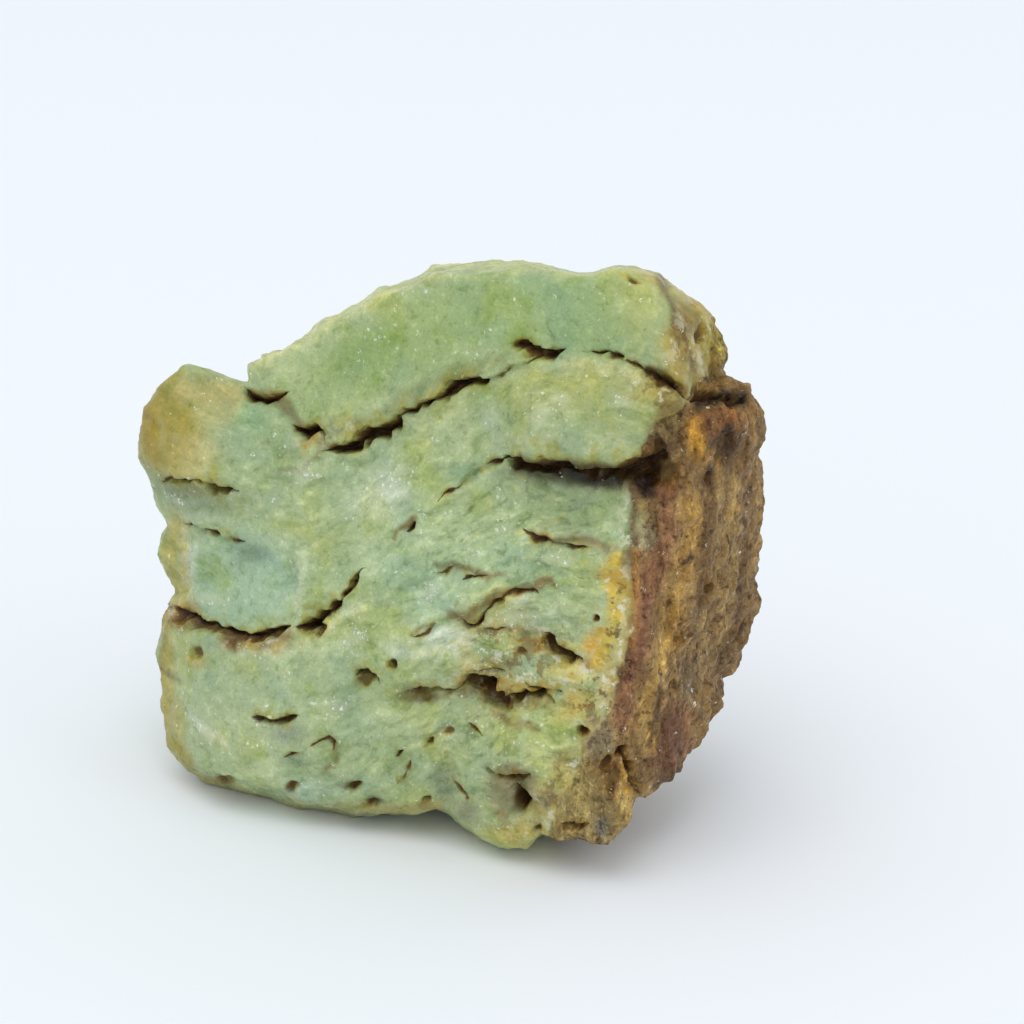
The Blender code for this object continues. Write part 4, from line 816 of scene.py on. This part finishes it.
def outline(points, grip, even, strength=1.0):
    """Draw the block out so that its rim on the drawing plane follows OUTLINE.

    The notches of the rim are full in front of it, and they run out behind it, where only the broad
    form of the outline is kept.
    """
    angle, reach, rim, behind = rim_of(points)
    at_across, at_up, _ = on_drawing(np.array((HEART,)))
    corners = np.array(OUTLINE) - np.array((at_across[0], at_up[0]))
    steps = np.linspace(0.0, 1.0, 12, endpoint=False)[:, None]
    fine = np.vstack([a + (b - a) * steps for a, b in zip(corners, np.roll(corners, -1, axis=0))])
    fine_angle = np.arctan2(fine[:, 1], fine[:, 0])
    order = np.argsort(fine_angle)
    turn = 2.0 * math.pi
    wanted = np.interp(CENTRES, fine_angle[order], np.hypot(fine[:, 0], fine[:, 1])[order], period=turn)
    broad = spread(spread(wanted, 10, np.min), 10, np.mean)
    if even:
        wanted = spread(wanted, even, np.mean)
        rim = spread(rim, even, np.mean)
    ratio = np.interp(angle, CENTRES, wanted / rim, period=turn) * (1.0 - behind)
    ratio += np.interp(angle, CENTRES, broad / rim, period=turn) * behind
    share = ease(1.0 - grip, 1.0, reach / np.interp(angle, CENTRES, rim, period=turn))
    grow = (strength * reach * (ratio - 1.0) * share / on_drawing(points)[2])[:, None]
    return points + np.cos(angle)[:, None] * grow * ACROSS + np.sin(angle)[:, None] * grow * UP


def layers(points):
    """Place of points in the wavy layers of the mineral: along a layer, across it, and depth."""
    across, up, _ = on_drawing(points)
    height = up + 3.5 * np.cos(math.pi * (across + 14.0) / 23.0)
    height = height + 0.9 * noise(points, 4.0, SEED + 43) + 0.35 * noise(points, 1.5, SEED + 44)
    return np.column_stack((0.45 * across, height, 0.45 * (points @ TOWARD)))


def roughness(points):
    """How rough the green face is: little on the waxy parts, much where it is cracked up."""
    value = np.full(len(points), 0.6)
    across, up = wavering(points, ((0.8, 3.0, 41, 42),))
    for far, (wanted,) in ellipses(across, up, ROUGHNESS):
        share = np.exp(-far ** 5.0)
        value = value * (1.0 - share) + wanted * share
    return value


def relief(points, levels):
    """Layers, cracks, pits and lumps on the drawing side, and how near each point is to a crack."""
    normals = soft_normals(points, levels)
    front = 1.0 - rim_of(points)[3]
    facing = front * ease(-0.35, 0.10, normals @ TOWARD)
    across, up = wavering(points, ((0.25, 2.2, 1, 2), (0.17, 0.8, 21, 22), (0.08, 0.35, 24, 25)))
    ragged = noise(points, 0.9, SEED + 26)
    broken = noise(points, 1.7, SEED + 27)

    rise = np.zeros(len(points))
    out = np.zeros(len(points))
    sag = np.zeros(len(points))
    groove = np.zeros(len(points))
    halo = np.zeros(len(points))
    for far, (height, flat) in ellipses(across, up, LUMPS):
        rise += height * np.exp(-far ** flat)
    for height, fade, line in LEDGES:
        gap, side, _, taper, _ = line_distance(across, up, line)
        out += 0.5 * height * taper * np.tanh(side / 0.22) * np.exp(-gap / fade)
    for depth, lip, line in CRACKS:
        spots = np.array([p[:2] for p in line])
        low, high = spots.min(axis=0) - REACH, spots.max(axis=0) + REACH
        near = (facing > 0.0) & (across > low[0]) & (across < high[0]) & (up > low[1]) & (up < high[1])
        gap, side, half, taper, grow = line_distance(across[near], up[near], line)
        above = 0.5 + 0.5 * np.tanh(side / (0.12 + 0.2 * abs(lip)))
        step = grow * lip * (above * np.exp(-gap / 2.6) - 0.5 * (1.0 - above) * np.exp(-gap / 2.2))
        proud = above if lip > 0.0 else 1.0 - above
        hang = 0.45 * grow * lip * proud * np.exp(-gap / 0.8)
        slope = gap * (0.7 + above)     # steep above the crack, gentle below it
        whole = np.clip(0.9 + 1.5 * broken[near] + 4.0 * (half - 0.15), 0.0, 1.0)
        half = 0.76 * half * (0.35 + 0.75 * taper) * (1.0 + 0.8 * ragged[near])
        cut = depth * np.minimum(1.0, half / 0.25) * (1.0 - ease(0.4 * half, 1.5 * half + 0.1, slope))
        out[near] += step - cut * whole
        sag[near] += hang
        # dark of the crack: its brown filling, and painted shade in its depth
        dark = np.clip(1.2 - 0.5 * slope / half, 0.0, 1.0) * (0.35 + 0.65 * whole)
        groove[near] = np.maximum(groove[near], dark)
        stain = np.exp(-gap / (0.3 + 1.3 * half)) * np.minimum(1.0, half / 0.2) * (0.6 + 0.4 * whole)
        halo[near] = np.maximum(halo[near], stain)
    # pits are darkened the same way: brown filling, and painted shade in their depth
    for far, (depth, dark) in ellipses(across, up, PITS):
        out -= depth * (1.0 - ease(0.3, 1.5, far))
        groove = np.maximum(groove, dark * np.clip(1.0 - 0.4 * far, 0.0, 1.0))
        halo = np.maximum(halo, np.exp(-np.maximum(far - 0.5, 0.0) * 1.5))
    out += 0.10 * halo * noise(points, 0.6, SEED + 28)
    moved = points + TOWARD * (rise * front)[:, None]
    moved += normals * (out * facing)[:, None] - UP * (sag * facing)[:, None]
    return moved, groove * facing, halo * facing


def weathered(points, behind):
    """1 on the brown weathered side, 0 on the green face."""
    across, up, _ = on_drawing(points)
    edge = np.interp(up, [p[0] for p in BORDER], [p[1] for p in BORDER])
    wave = 0.6 * noise(points, 3.0, SEED + 3) + 0.3 * noise(points, 1.0, SEED + 23)
    seen = ease(-0.4, 0.4, across - edge + wave + 0.15 * noise(points, 0.4, SEED + 45))
    bays = 7.0 * noise(points, 8.0, SEED + 4) + 2.5 * noise(points, 3.0, SEED + 46)
    hidden = ease(-3.5, 3.5, points[:, 0] - 7.0 + 0.3 * (points[:, 2] - 20.0) + bays)
    return seen * (1.0 - behind) + hidden * behind


def grain(points, levels):
    """Roughness: waxy to crumbly on the green face, ribbed and gritty on the weathered side."""
    normals = soft_normals(points, levels)
    rear = rim_of(points)[3]
    brown = weathered(points, rear)
    face = (1.0 - brown) * (roughness(points) * (1.0 - rear) + 0.5 * rear)
    swell = 0.35 * noise(points, 7.0, SEED + 5) + (0.10 + 0.14 * face) * noise(points, 3.2, SEED + 6)
    bent = points + 1.5 * noise(points, 6.0, SEED + 8)[:, None]
    hackle = np.abs(noise(bent, 6.0, SEED + 7)) - 0.25
    ribs = noise(bent * np.array((1.0, 1.0, 0.20)), 1.9, SEED + 9)
    striae = noise(bent * np.array((1.0, 1.0, 0.22)), 0.75, SEED + 14)
    grit = noise(points, 1.3, SEED + 10)
    fine = noise(points, 0.62, SEED + 11)
    sand = noise(points, 0.33, SEED + 12)
    edge = np.abs(noise(points, 1.9, SEED + 13)) - 0.25
    sheets = noise(layers(points), 1.0, SEED + 15)
    thin = noise(layers(points), 0.45, SEED + 16)
    patch = (1.0 - rear) * ease(-0.3, 0.5, noise(points, 4.0, SEED + 17))

    rough = brown * ease(-0.85, -0.5, normals[:, 2])
    out = swell + 0.8 * rear * hackle
    out += rough * (0.38 * ribs + 0.36 * striae + 0.24 * grit)
    out += face * (0.15 * grit + 0.12 * patch * np.tanh(2.5 * sheets) + 0.05 * patch * thin)
    out += (0.03 + 0.09 * face + 0.14 * brown) * fine + (0.012 + 0.035 * face + 0.06 * brown) * sand
    out += (0.04 + 0.14 * face + 0.16 * brown) * edge
    return points + normals * out[:, None], brown, rear


def settle(points):
    """Flatten what reaches below the ground and put the origin under the middle of the box."""
    low = np.sort(points[:, 2])[int(len(points) * 0.03)]
    points = points - np.array((0.0, 0.0, low))
    points[:, 2] = np.maximum(points[:, 2], 0.0)
    middle = 0.5 * (points.min(axis=0) + points.max(axis=0))
    return points - np.array((middle[0], middle[1], 0.0)), np.array((middle[0], middle[1], low))


# ---------------------------------------------------------------- colour
def linear(color):
    """Linear light values of a colour given as 0 to 255."""
    c = np.array(color, dtype=float) / 255.0
    return np.where(c <= 0.04045, c / 12.92, ((c + 0.055) / 1.055) ** 2.4)


def laid_over(tint, color, share):
    """Colours of points turned by each point's share into another colour."""
    share = share[:, None]
    return tint * (1.0 - share) + color * share


def tint_of(points, brown, rear):
    """Broad colour of the stone: green face, its zones and streaks, and the weathered side. Then
    where it is sugary and where it is stained."""
    across, up = wavering(points, ((0.5, 3.0, 31, 33), (0.25, 0.9, 32, 34)))
    facing = 1.0 - rear

    patches = ease(-0.7, 0.9, noise(points, 7.0, SEED + 35) + 0.5 * noise(points, 2.6, SEED + 36))
    green = linear((164, 179, 132))
    tint = laid_over(green, laid_over(green, linear((156, 138, 84)), patches), rear)
    tint = laid_over(tint, linear((152, 122, 76)), brown)
    for far, (color, strength, flat) in ellipses(across, up, ZONES):
        tint = laid_over(tint, linear(color), strength * facing * np.exp(-far ** (1.4 * flat)))
    for half, color, strength, line in STREAKS:
        gap = line_distance(across, up, line)[0]
        tint = laid_over(tint, linear(color), strength * facing * np.exp(-(gap / half) ** 2.5))
    sugar = np.zeros(len(points))
    for far, _ in ellipses(across, up, SUGAR):
        sugar = np.maximum(sugar, np.exp(-far ** 2.0))
    stain = np.zeros(len(points))
    for far, (strength,) in ellipses(across, up, STAINS):
        stain = np.maximum(stain, strength * np.exp(-far ** 3.0))
    return tint, sugar * facing, stain * facing


# ---------------------------------------------------------------- material
class Nodes:
    """Short hand for building a node tree."""

    def __init__(self, material):
        material.use_nodes = True
        self.tree = material.node_tree
        self.shader = self.tree.nodes["Principled BSDF"]

    def fill(self, node, inputs):
        """Set a node's inputs, by name or number, to a value or to another node's socket."""
        for name, item in inputs.items():
            if isinstance(item, bpy.types.NodeSocket):
                self.tree.links.new(item, node.inputs[name])
            else:
                node.inputs[name].default_value = item

    def add(self, kind, inputs=None, **settings):
        node = self.tree.nodes.new(kind)
        for key, value in settings.items():
            setattr(node, key, value)
        self.fill(node, inputs or {})
        return node

    def field(self, name, output="Fac"):
        """Values kept with the points of the mesh."""
        return self.add("ShaderNodeAttribute", attribute_name=name).outputs[output]

    def noise(self, scale, detail=3.0, rough=0.55, stretch=None, warp=0.0, place=None):
        """Noise over the stone's own coordinates, in features per metre."""
        place = place or self.add("ShaderNodeTexCoord").outputs["Object"]
        if stretch:
            place = self.add("ShaderNodeMapping", {"Vector": place, "Scale": stretch}).outputs["Vector"]
        inputs = {"Vector": place, "Scale": scale, "Detail": detail, "Roughness": rough, "Distortion": warp}
        return self.add("ShaderNodeTexNoise", inputs).outputs["Fac"]

    def dots(self, scale, size, share):
        """Small ragged dots of uneven size in some of the cells, in cells per metre."""
        place = self.add("ShaderNodeTexCoord").outputs["Object"]
        bend = self.add("ShaderNodeTexNoise", {"Vector": place, "Scale": 2.2 * scale, "Detail": 2.0})
        inputs = {0: bend.outputs["Color"], 1: (1.6 / scale,) * 3, 2: place}
        bent = self.add("ShaderNodeVectorMath", inputs, operation="MULTIPLY_ADD").outputs["Vector"]
        cells = self.add("ShaderNodeTexVoronoi", {"Vector": bent, "Scale": scale}, feature="F1")
        pick = self.add("ShaderNodeSeparateColor", {"Color": cells.outputs["Color"]})
        chosen = self.band(pick.outputs["Red"], 1.0 - share, 1.0 - share + 0.02)
        wide = self.band(pick.outputs["Green"], 0.0, 1.0, 0.4 * size, size)
        inside = self.band(self.math("DIVIDE", cells.outputs["Distance"], wide), 0.5, 1.2, 1.0, 0.0)
        return self.times(chosen, inside)

    def math(self, operation, value, *others):
        """An operation on a value and the others, one after the other."""
        for other in others:
            value = self.add("ShaderNodeMath", {0: value, 1: other}, operation=operation).outputs[0]
        return value

    def times(self, *values):
        return self.math("MULTIPLY", *values)

    def plus(self, *values):
        return self.math("ADD", *values)

    def swing(self, pattern, amount):
        """A pattern made to swing round 0, times an amount."""
        return self.times(self.math("SUBTRACT", pattern, 0.5), amount)

    def band(self, source, low, high, to_low=0.0, to_high=1.0):
        """Smooth step of a value from low to high."""
        inputs = {"Value": source, "From Min": low, "From Max": high, "To Min": to_low, "To Max": to_high}
        return self.add("ShaderNodeMapRange", inputs, interpolation_type="SMOOTHSTEP").outputs["Result"]

    def blend(self, kind, share, color, other):
        inputs = {0: share, 6: color, 7: other}
        return self.add("ShaderNodeMix", inputs, data_type="RGBA", blend_type=kind).outputs[2]

    def mix(self, share, color, other):
        """A colour turned by share into another, which is a socket or is given as 0 to 255."""
        if isinstance(other, tuple):
            other = (*linear(other), 1.0)
        return self.blend("MIX", share, color, other)

    def shade(self, color, *rows):
        """A colour multiplied, row after row, by the row's factors, by its share."""
        for share, factors in rows:
            color = self.blend("MULTIPLY", share, color, (*factors, 1.0))
        return color


def stone_material():
    material = bpy.data.materials.new("stone_waxy")
    n = Nodes(material)
    groove, halo, brown, sugar, busy, stain = [n.field(name) for name in FIELDS]
    layer = n.field("layer", "Vector")

    broad = n.noise(170.0, 4.0, 0.6)
    hue = n.noise(240.0, 2.0, 0.5)
    crumbled = n.band(busy, 0.45, 0.95)
    middle = n.noise(480.0, 4.0, 0.65)
    fine = n.noise(1500.0, 3.0, 0.6)
    tiny = n.noise(4600.0, 2.0, 0.7)
    sheets = n.noise(0.9, 3.0, 0.55, place=layer, warp=0.1)
    thin = n.noise(1.9, 2.0, 0.5, place=layer, warp=0.1)
    striae = n.noise(700.0, 4.0, 0.65, stretch=UPRIGHT)
    hairs = n.noise(2000.0, 3.0, 0.65, stretch=UPRIGHT)
    crumbs = n.noise(1800.0, 3.0, 0.7)
    dirt = n.noise(620.0, 4.0, 0.7)

    # green face: cloudy patches, paler and yellower layers, grey green and olive stains
    green = n.shade(
        n.field("tint", "Color"),
        (n.band(broad, 0.40, 0.66, 0.0, 0.8), (1.20, 1.14, 1.14)),
        (n.band(middle, 0.50, 0.70, 0.0, 0.9), (0.76, 0.84, 0.68)),
        (n.band(hue, 0.50, 0.68, 0.0, 0.9), (1.04, 0.98, 0.74)),
        (n.band(hue, 0.34, 0.47, 0.9, 0.0), (0.84, 0.90, 0.98)),
        (n.times(n.band(sheets, 0.52, 0.68), busy), (1.38, 1.30, 1.36)),
        (n.times(n.band(sheets, 0.35, 0.48, 1.0, 0.0), busy), (0.64, 0.70, 0.62)),
        (n.times(n.band(thin, 0.60, 0.70), crumbled), (1.14, 1.02, 0.74)),
        (n.times(n.band(thin, 0.26, 0.42, 0.8, 0.0), crumbled), (0.66, 0.60, 0.44)),
        (n.band(fine, 0.54, 0.72, 0.0, 0.9), (1.26, 1.22, 1.22)),
        (n.band(fine, 0.28, 0.46, 0.9, 0.0), (0.72, 0.76, 0.64)),
        (n.band(tiny, 0.52, 0.70, 0.0, 0.7), (1.22, 1.20, 1.22)),
        (n.band(tiny, 0.30, 0.46, 0.35, 0.0), (0.76, 0.78, 0.72)),
    )
    blotch = n.noise(430.0, 4.0, 0.65)
    other = n.noise(760.0, 4.0, 0.65)
    for spots, color in (
        (n.band(blotch, 0.44, 0.55, 0.0, 0.85), (198, 186, 110)),
        (n.band(blotch, 0.55, 0.62), (180, 142, 48)),
        (n.band(other, 0.54, 0.62), (106, 74, 38)),
        (n.band(other, 0.37, 0.46, 1.0, 0.0), (226, 224, 200)),
    ):
        green = n.mix(n.times(spots, stain), green, color)
    fleck = n.times(n.dots(1300.0, 0.22, 0.30), crumbled, 0.45)
    green = n.shade(green, (fleck, (0.42, 0.36, 0.26)))

    # weathered side: mauve, ochre and dark browns drawn out along the height, and gritty
    side = n.shade(
        n.field("tint", "Color"),
        (n.band(striae, 0.42, 0.60, 0.0, 0.9), (0.64, 0.60, 0.56)),
        (n.band(striae, 0.28, 0.44, 0.9, 0.0), (1.30, 1.32, 1.32)),
        (n.band(middle, 0.54, 0.70, 0.0, 0.9), (1.24, 1.18, 1.00)),
        (n.band(hairs, 0.54, 0.68), (0.56, 0.52, 0.48)),
        (n.band(hairs, 0.32, 0.44, 1.0, 0.0), (1.32, 1.34, 1.34)),
        (n.band(crumbs, 0.55, 0.66), (0.46, 0.42, 0.38)),
        (n.band(crumbs, 0.34, 0.45, 1.0, 0.0), (1.50, 1.55, 1.60)),
        (n.band(tiny, 0.54, 0.68, 0.0, 0.5), (0.60, 0.58, 0.56)),
        (n.band(tiny, 0.32, 0.44, 0.6, 0.0), (1.35, 1.38, 1.40)),
        (n.band(dirt, 0.55, 0.66, 0.0, 0.9), (0.36, 0.30, 0.26)),
    )
    side = n.mix(n.times(n.dots(1900.0, 0.24, 0.16), 0.8), side, (36, 25, 18))
    base = n.mix(n.band(brown, 0.30, 0.70), green, side)

    # sugary white grains, and loose white specks strewn over the stone, partly real grains and partly
    # painted glints
    grains = n.times(n.band(sugar, 0.05, 0.6), n.dots(3000.0, 0.46, 0.55))
    strewn_specks_and_glints = n.times(n.band(n.noise(260.0, 3.0), 0.50, 0.62), n.band(brown, 0.3, 0.7, 0.75, 0.3),
                     n.dots(2600.0, 0.36, 0.24))
    loose_specks_and_glints = n.times(n.dots(1900.0, 0.24, 0.14), n.band(brown, 0.3, 0.7, 0.7, 0.8))
    veil = n.times(n.band(sugar, 0.2, 0.9), n.band(brown, 0.3, 0.7, 0.30, 0.0))
    base = n.mix(veil, base, (200, 206, 176))
    base = n.mix(n.times(grains, 0.9), base, (240, 243, 228))
    # white specks, partly real grains and partly painted glints
    base = n.mix(n.math("MAXIMUM", loose_specks_and_glints, strewn_specks_and_glints), base, (236, 240, 222))

    # brown staining round the cracks, then the dark of the cracks and pits: brown filling, and painted
    # shade in their depths
    rusty = n.plus(halo, n.swing(fine, 1.1), n.swing(middle, 0.6))
    base = n.shade(base, (n.band(rusty, 0.20, 0.54, 0.0, 0.85), (0.88, 0.72, 0.36)))
    base = n.mix(n.band(rusty, 0.50, 0.86, 0.0, 0.85), base, (104, 84, 42))
    ragged = n.plus(groove, n.swing(fine, 0.6), n.swing(tiny, 0.3))
    base = n.mix(n.band(ragged, 0.45, 0.75, 0.0, 0.9), base, (92, 64, 38))
    base = n.mix(n.band(ragged, 0.78, 1.02, 0.0, 0.9), base, (48, 35, 23))

    height = n.plus(n.times(fine, 0.6), n.times(tiny, 0.3), n.times(hairs, brown, 1.2),
                    n.times(grains, 0.4))
    bump = n.add("ShaderNodeBump", {"Strength": 0.6, "Distance": 0.00025, "Height": height})
    n.fill(n.shader, {
        "Base Color": base,
        "Roughness": n.plus(n.band(brown, 0.3, 0.7, 0.36, 0.52), n.swing(fine, 0.35), n.swing(tiny, 0.6)),
        "IOR": 1.45,
        "Specular IOR Level": 0.25,
        "Subsurface Weight": 0.12,
        "Subsurface Radius": (0.8, 1.0, 0.5),
        "Subsurface Scale": 0.0012,
        "Normal": bump.outputs["Normal"],
    })
    return material


# ---------------------------------------------------------------- building
def keep_field(mesh, name, kind, key, values):
    """Keep values with the points of a mesh, for the material."""
    field = mesh.attributes.new(name, kind, "POINT")
    field.data.foreach_set(key, values.astype(np.float32).ravel())


def put(name, data):
    """A new object in the scene."""
    item = bpy.data.objects.new(name, data)
    bpy.context.scene.collection.objects.link(item)
    return item


def stone():
    """The dressed stone, and how far it was moved from the drawing to its place."""
    directions, faces, levels = ball(5)
    points = body(directions)
    points = outline(points, 0.75, 0)
    points, groove, halo = relief(points, levels)
    points, brown, rear = grain(points, levels)
    # the relief and the grain moved the rim, so it is drawn out again: the broad form, then the notches
    points = outline(points, 0.45, 6)
    points = outline(points, 0.14, 1, 0.9)
    tint, sugar, stain = tint_of(points, brown, rear)
    busy = roughness(points)
    layer = layers(points)
    points, shift = settle(points)

    mesh = bpy.data.meshes.new("stone")
    mesh.vertices.add(len(points))
    mesh.vertices.foreach_set("co", (points * MM).astype(np.float32).ravel())
    mesh.loops.add(faces.size)
    mesh.loops.foreach_set("vertex_index", faces.astype(np.int32).ravel())
    mesh.polygons.add(len(faces))
    mesh.polygons.foreach_set("loop_start", np.arange(0, faces.size, 3, dtype=np.int32))
    mesh.update(calc_edges=True)
    for name, values in zip(FIELDS, (groove, halo, brown, sugar, busy, stain)):
        keep_field(mesh, name, "FLOAT", "value", values)
    keep_field(mesh, "tint", "FLOAT_COLOR", "color", np.column_stack((tint, np.ones(len(tint)))))
    keep_field(mesh, "layer", "FLOAT_VECTOR", "vector", layer)

    rough = put("rough_stone", mesh)
    fewer = rough.modifiers.new("fewer triangles", "DECIMATE")
    fewer.ratio = TRIANGLES / len(faces)
    graph = bpy.context.evaluated_depsgraph_get()
    made = bpy.data.meshes.new_from_object(rough.evaluated_get(graph))
    bpy.data.objects.remove(rough, do_unlink=True)
    made.name = "stone"
    made.polygons.foreach_set("use_smooth", np.ones(len(made.polygons), dtype=bool))
    made.materials.append(stone_material())
    return put("stone", made), shift


def plain_floor():
    """A wide pale level floor."""
    mesh = bmesh.new()
    bmesh.ops.create_circle(mesh, cap_ends=True, segments=96, radius=FLOOR_RADIUS)
    data = bpy.data.meshes.new("floor")
    mesh.to_mesh(data)
    mesh.free()
    material = bpy.data.materials.new("floor_pale")
    n = Nodes(material)
    n.fill(n.shader, {"Base Color": (0.89, 0.915, 0.945, 1.0), "Roughness": 0.9})
    data.materials.append(material)
    floor = put("floor", data)


def studio():
    """Light from all round and the soft lamps."""
    world = bpy.data.worlds.new("studio")
    world.use_nodes = True
    light = world.node_tree.nodes["Background"]
    light.inputs["Color"].default_value = SKY_COLOR
    light.inputs["Strength"].default_value = SKY_STRENGTH
    bpy.context.scene.world = world
    ahead = np.array((TOWARD[0], TOWARD[1], 0.0)) / math.cos(LIFT)
    for name, across, above, near, size, power in LAMPS:
        place = Vector(across * ACROSS + above * np.array((0.0, 0.0, 1.0)) + near * ahead)
        data = bpy.data.lights.new(name, "AREA")
        data.shape = "DISK"
        data.size = size
        data.energy = power
        lamp = put(name, data)
        lamp.location = place
        lamp.rotation_euler = (Vector(LAMPS_AIM) - place).to_track_quat("-Z", "Y").to_euler()
    bpy.context.scene.view_settings.view_transform = "Standard"
    bpy.context.scene.view_settings.look = "None"


def camera(shift):
    """The camera stands at the drawing side and looks squarely at AIM."""
    aim = ACROSS * AIM[0] + UP * AIM[1] - shift
    place = (aim + TOWARD * STAND) * MM
    data = bpy.data.cameras.new("camera")
    data.sensor_width = SENSOR
    data.lens = SENSOR * STAND / FIELD
    data.clip_start = 0.01
    eye = put("camera", data)
    rows = np.column_stack((ACROSS, UP, TOWARD, place)).tolist()
    eye.matrix_world = Matrix((*rows, (0.0, 0.0, 0.0, 1.0)))
    bpy.context.scene.camera = eye


piece, shift = stone()
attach(piece, "root")
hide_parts("specimen")
plain_floor()
studio()
camera(shift)
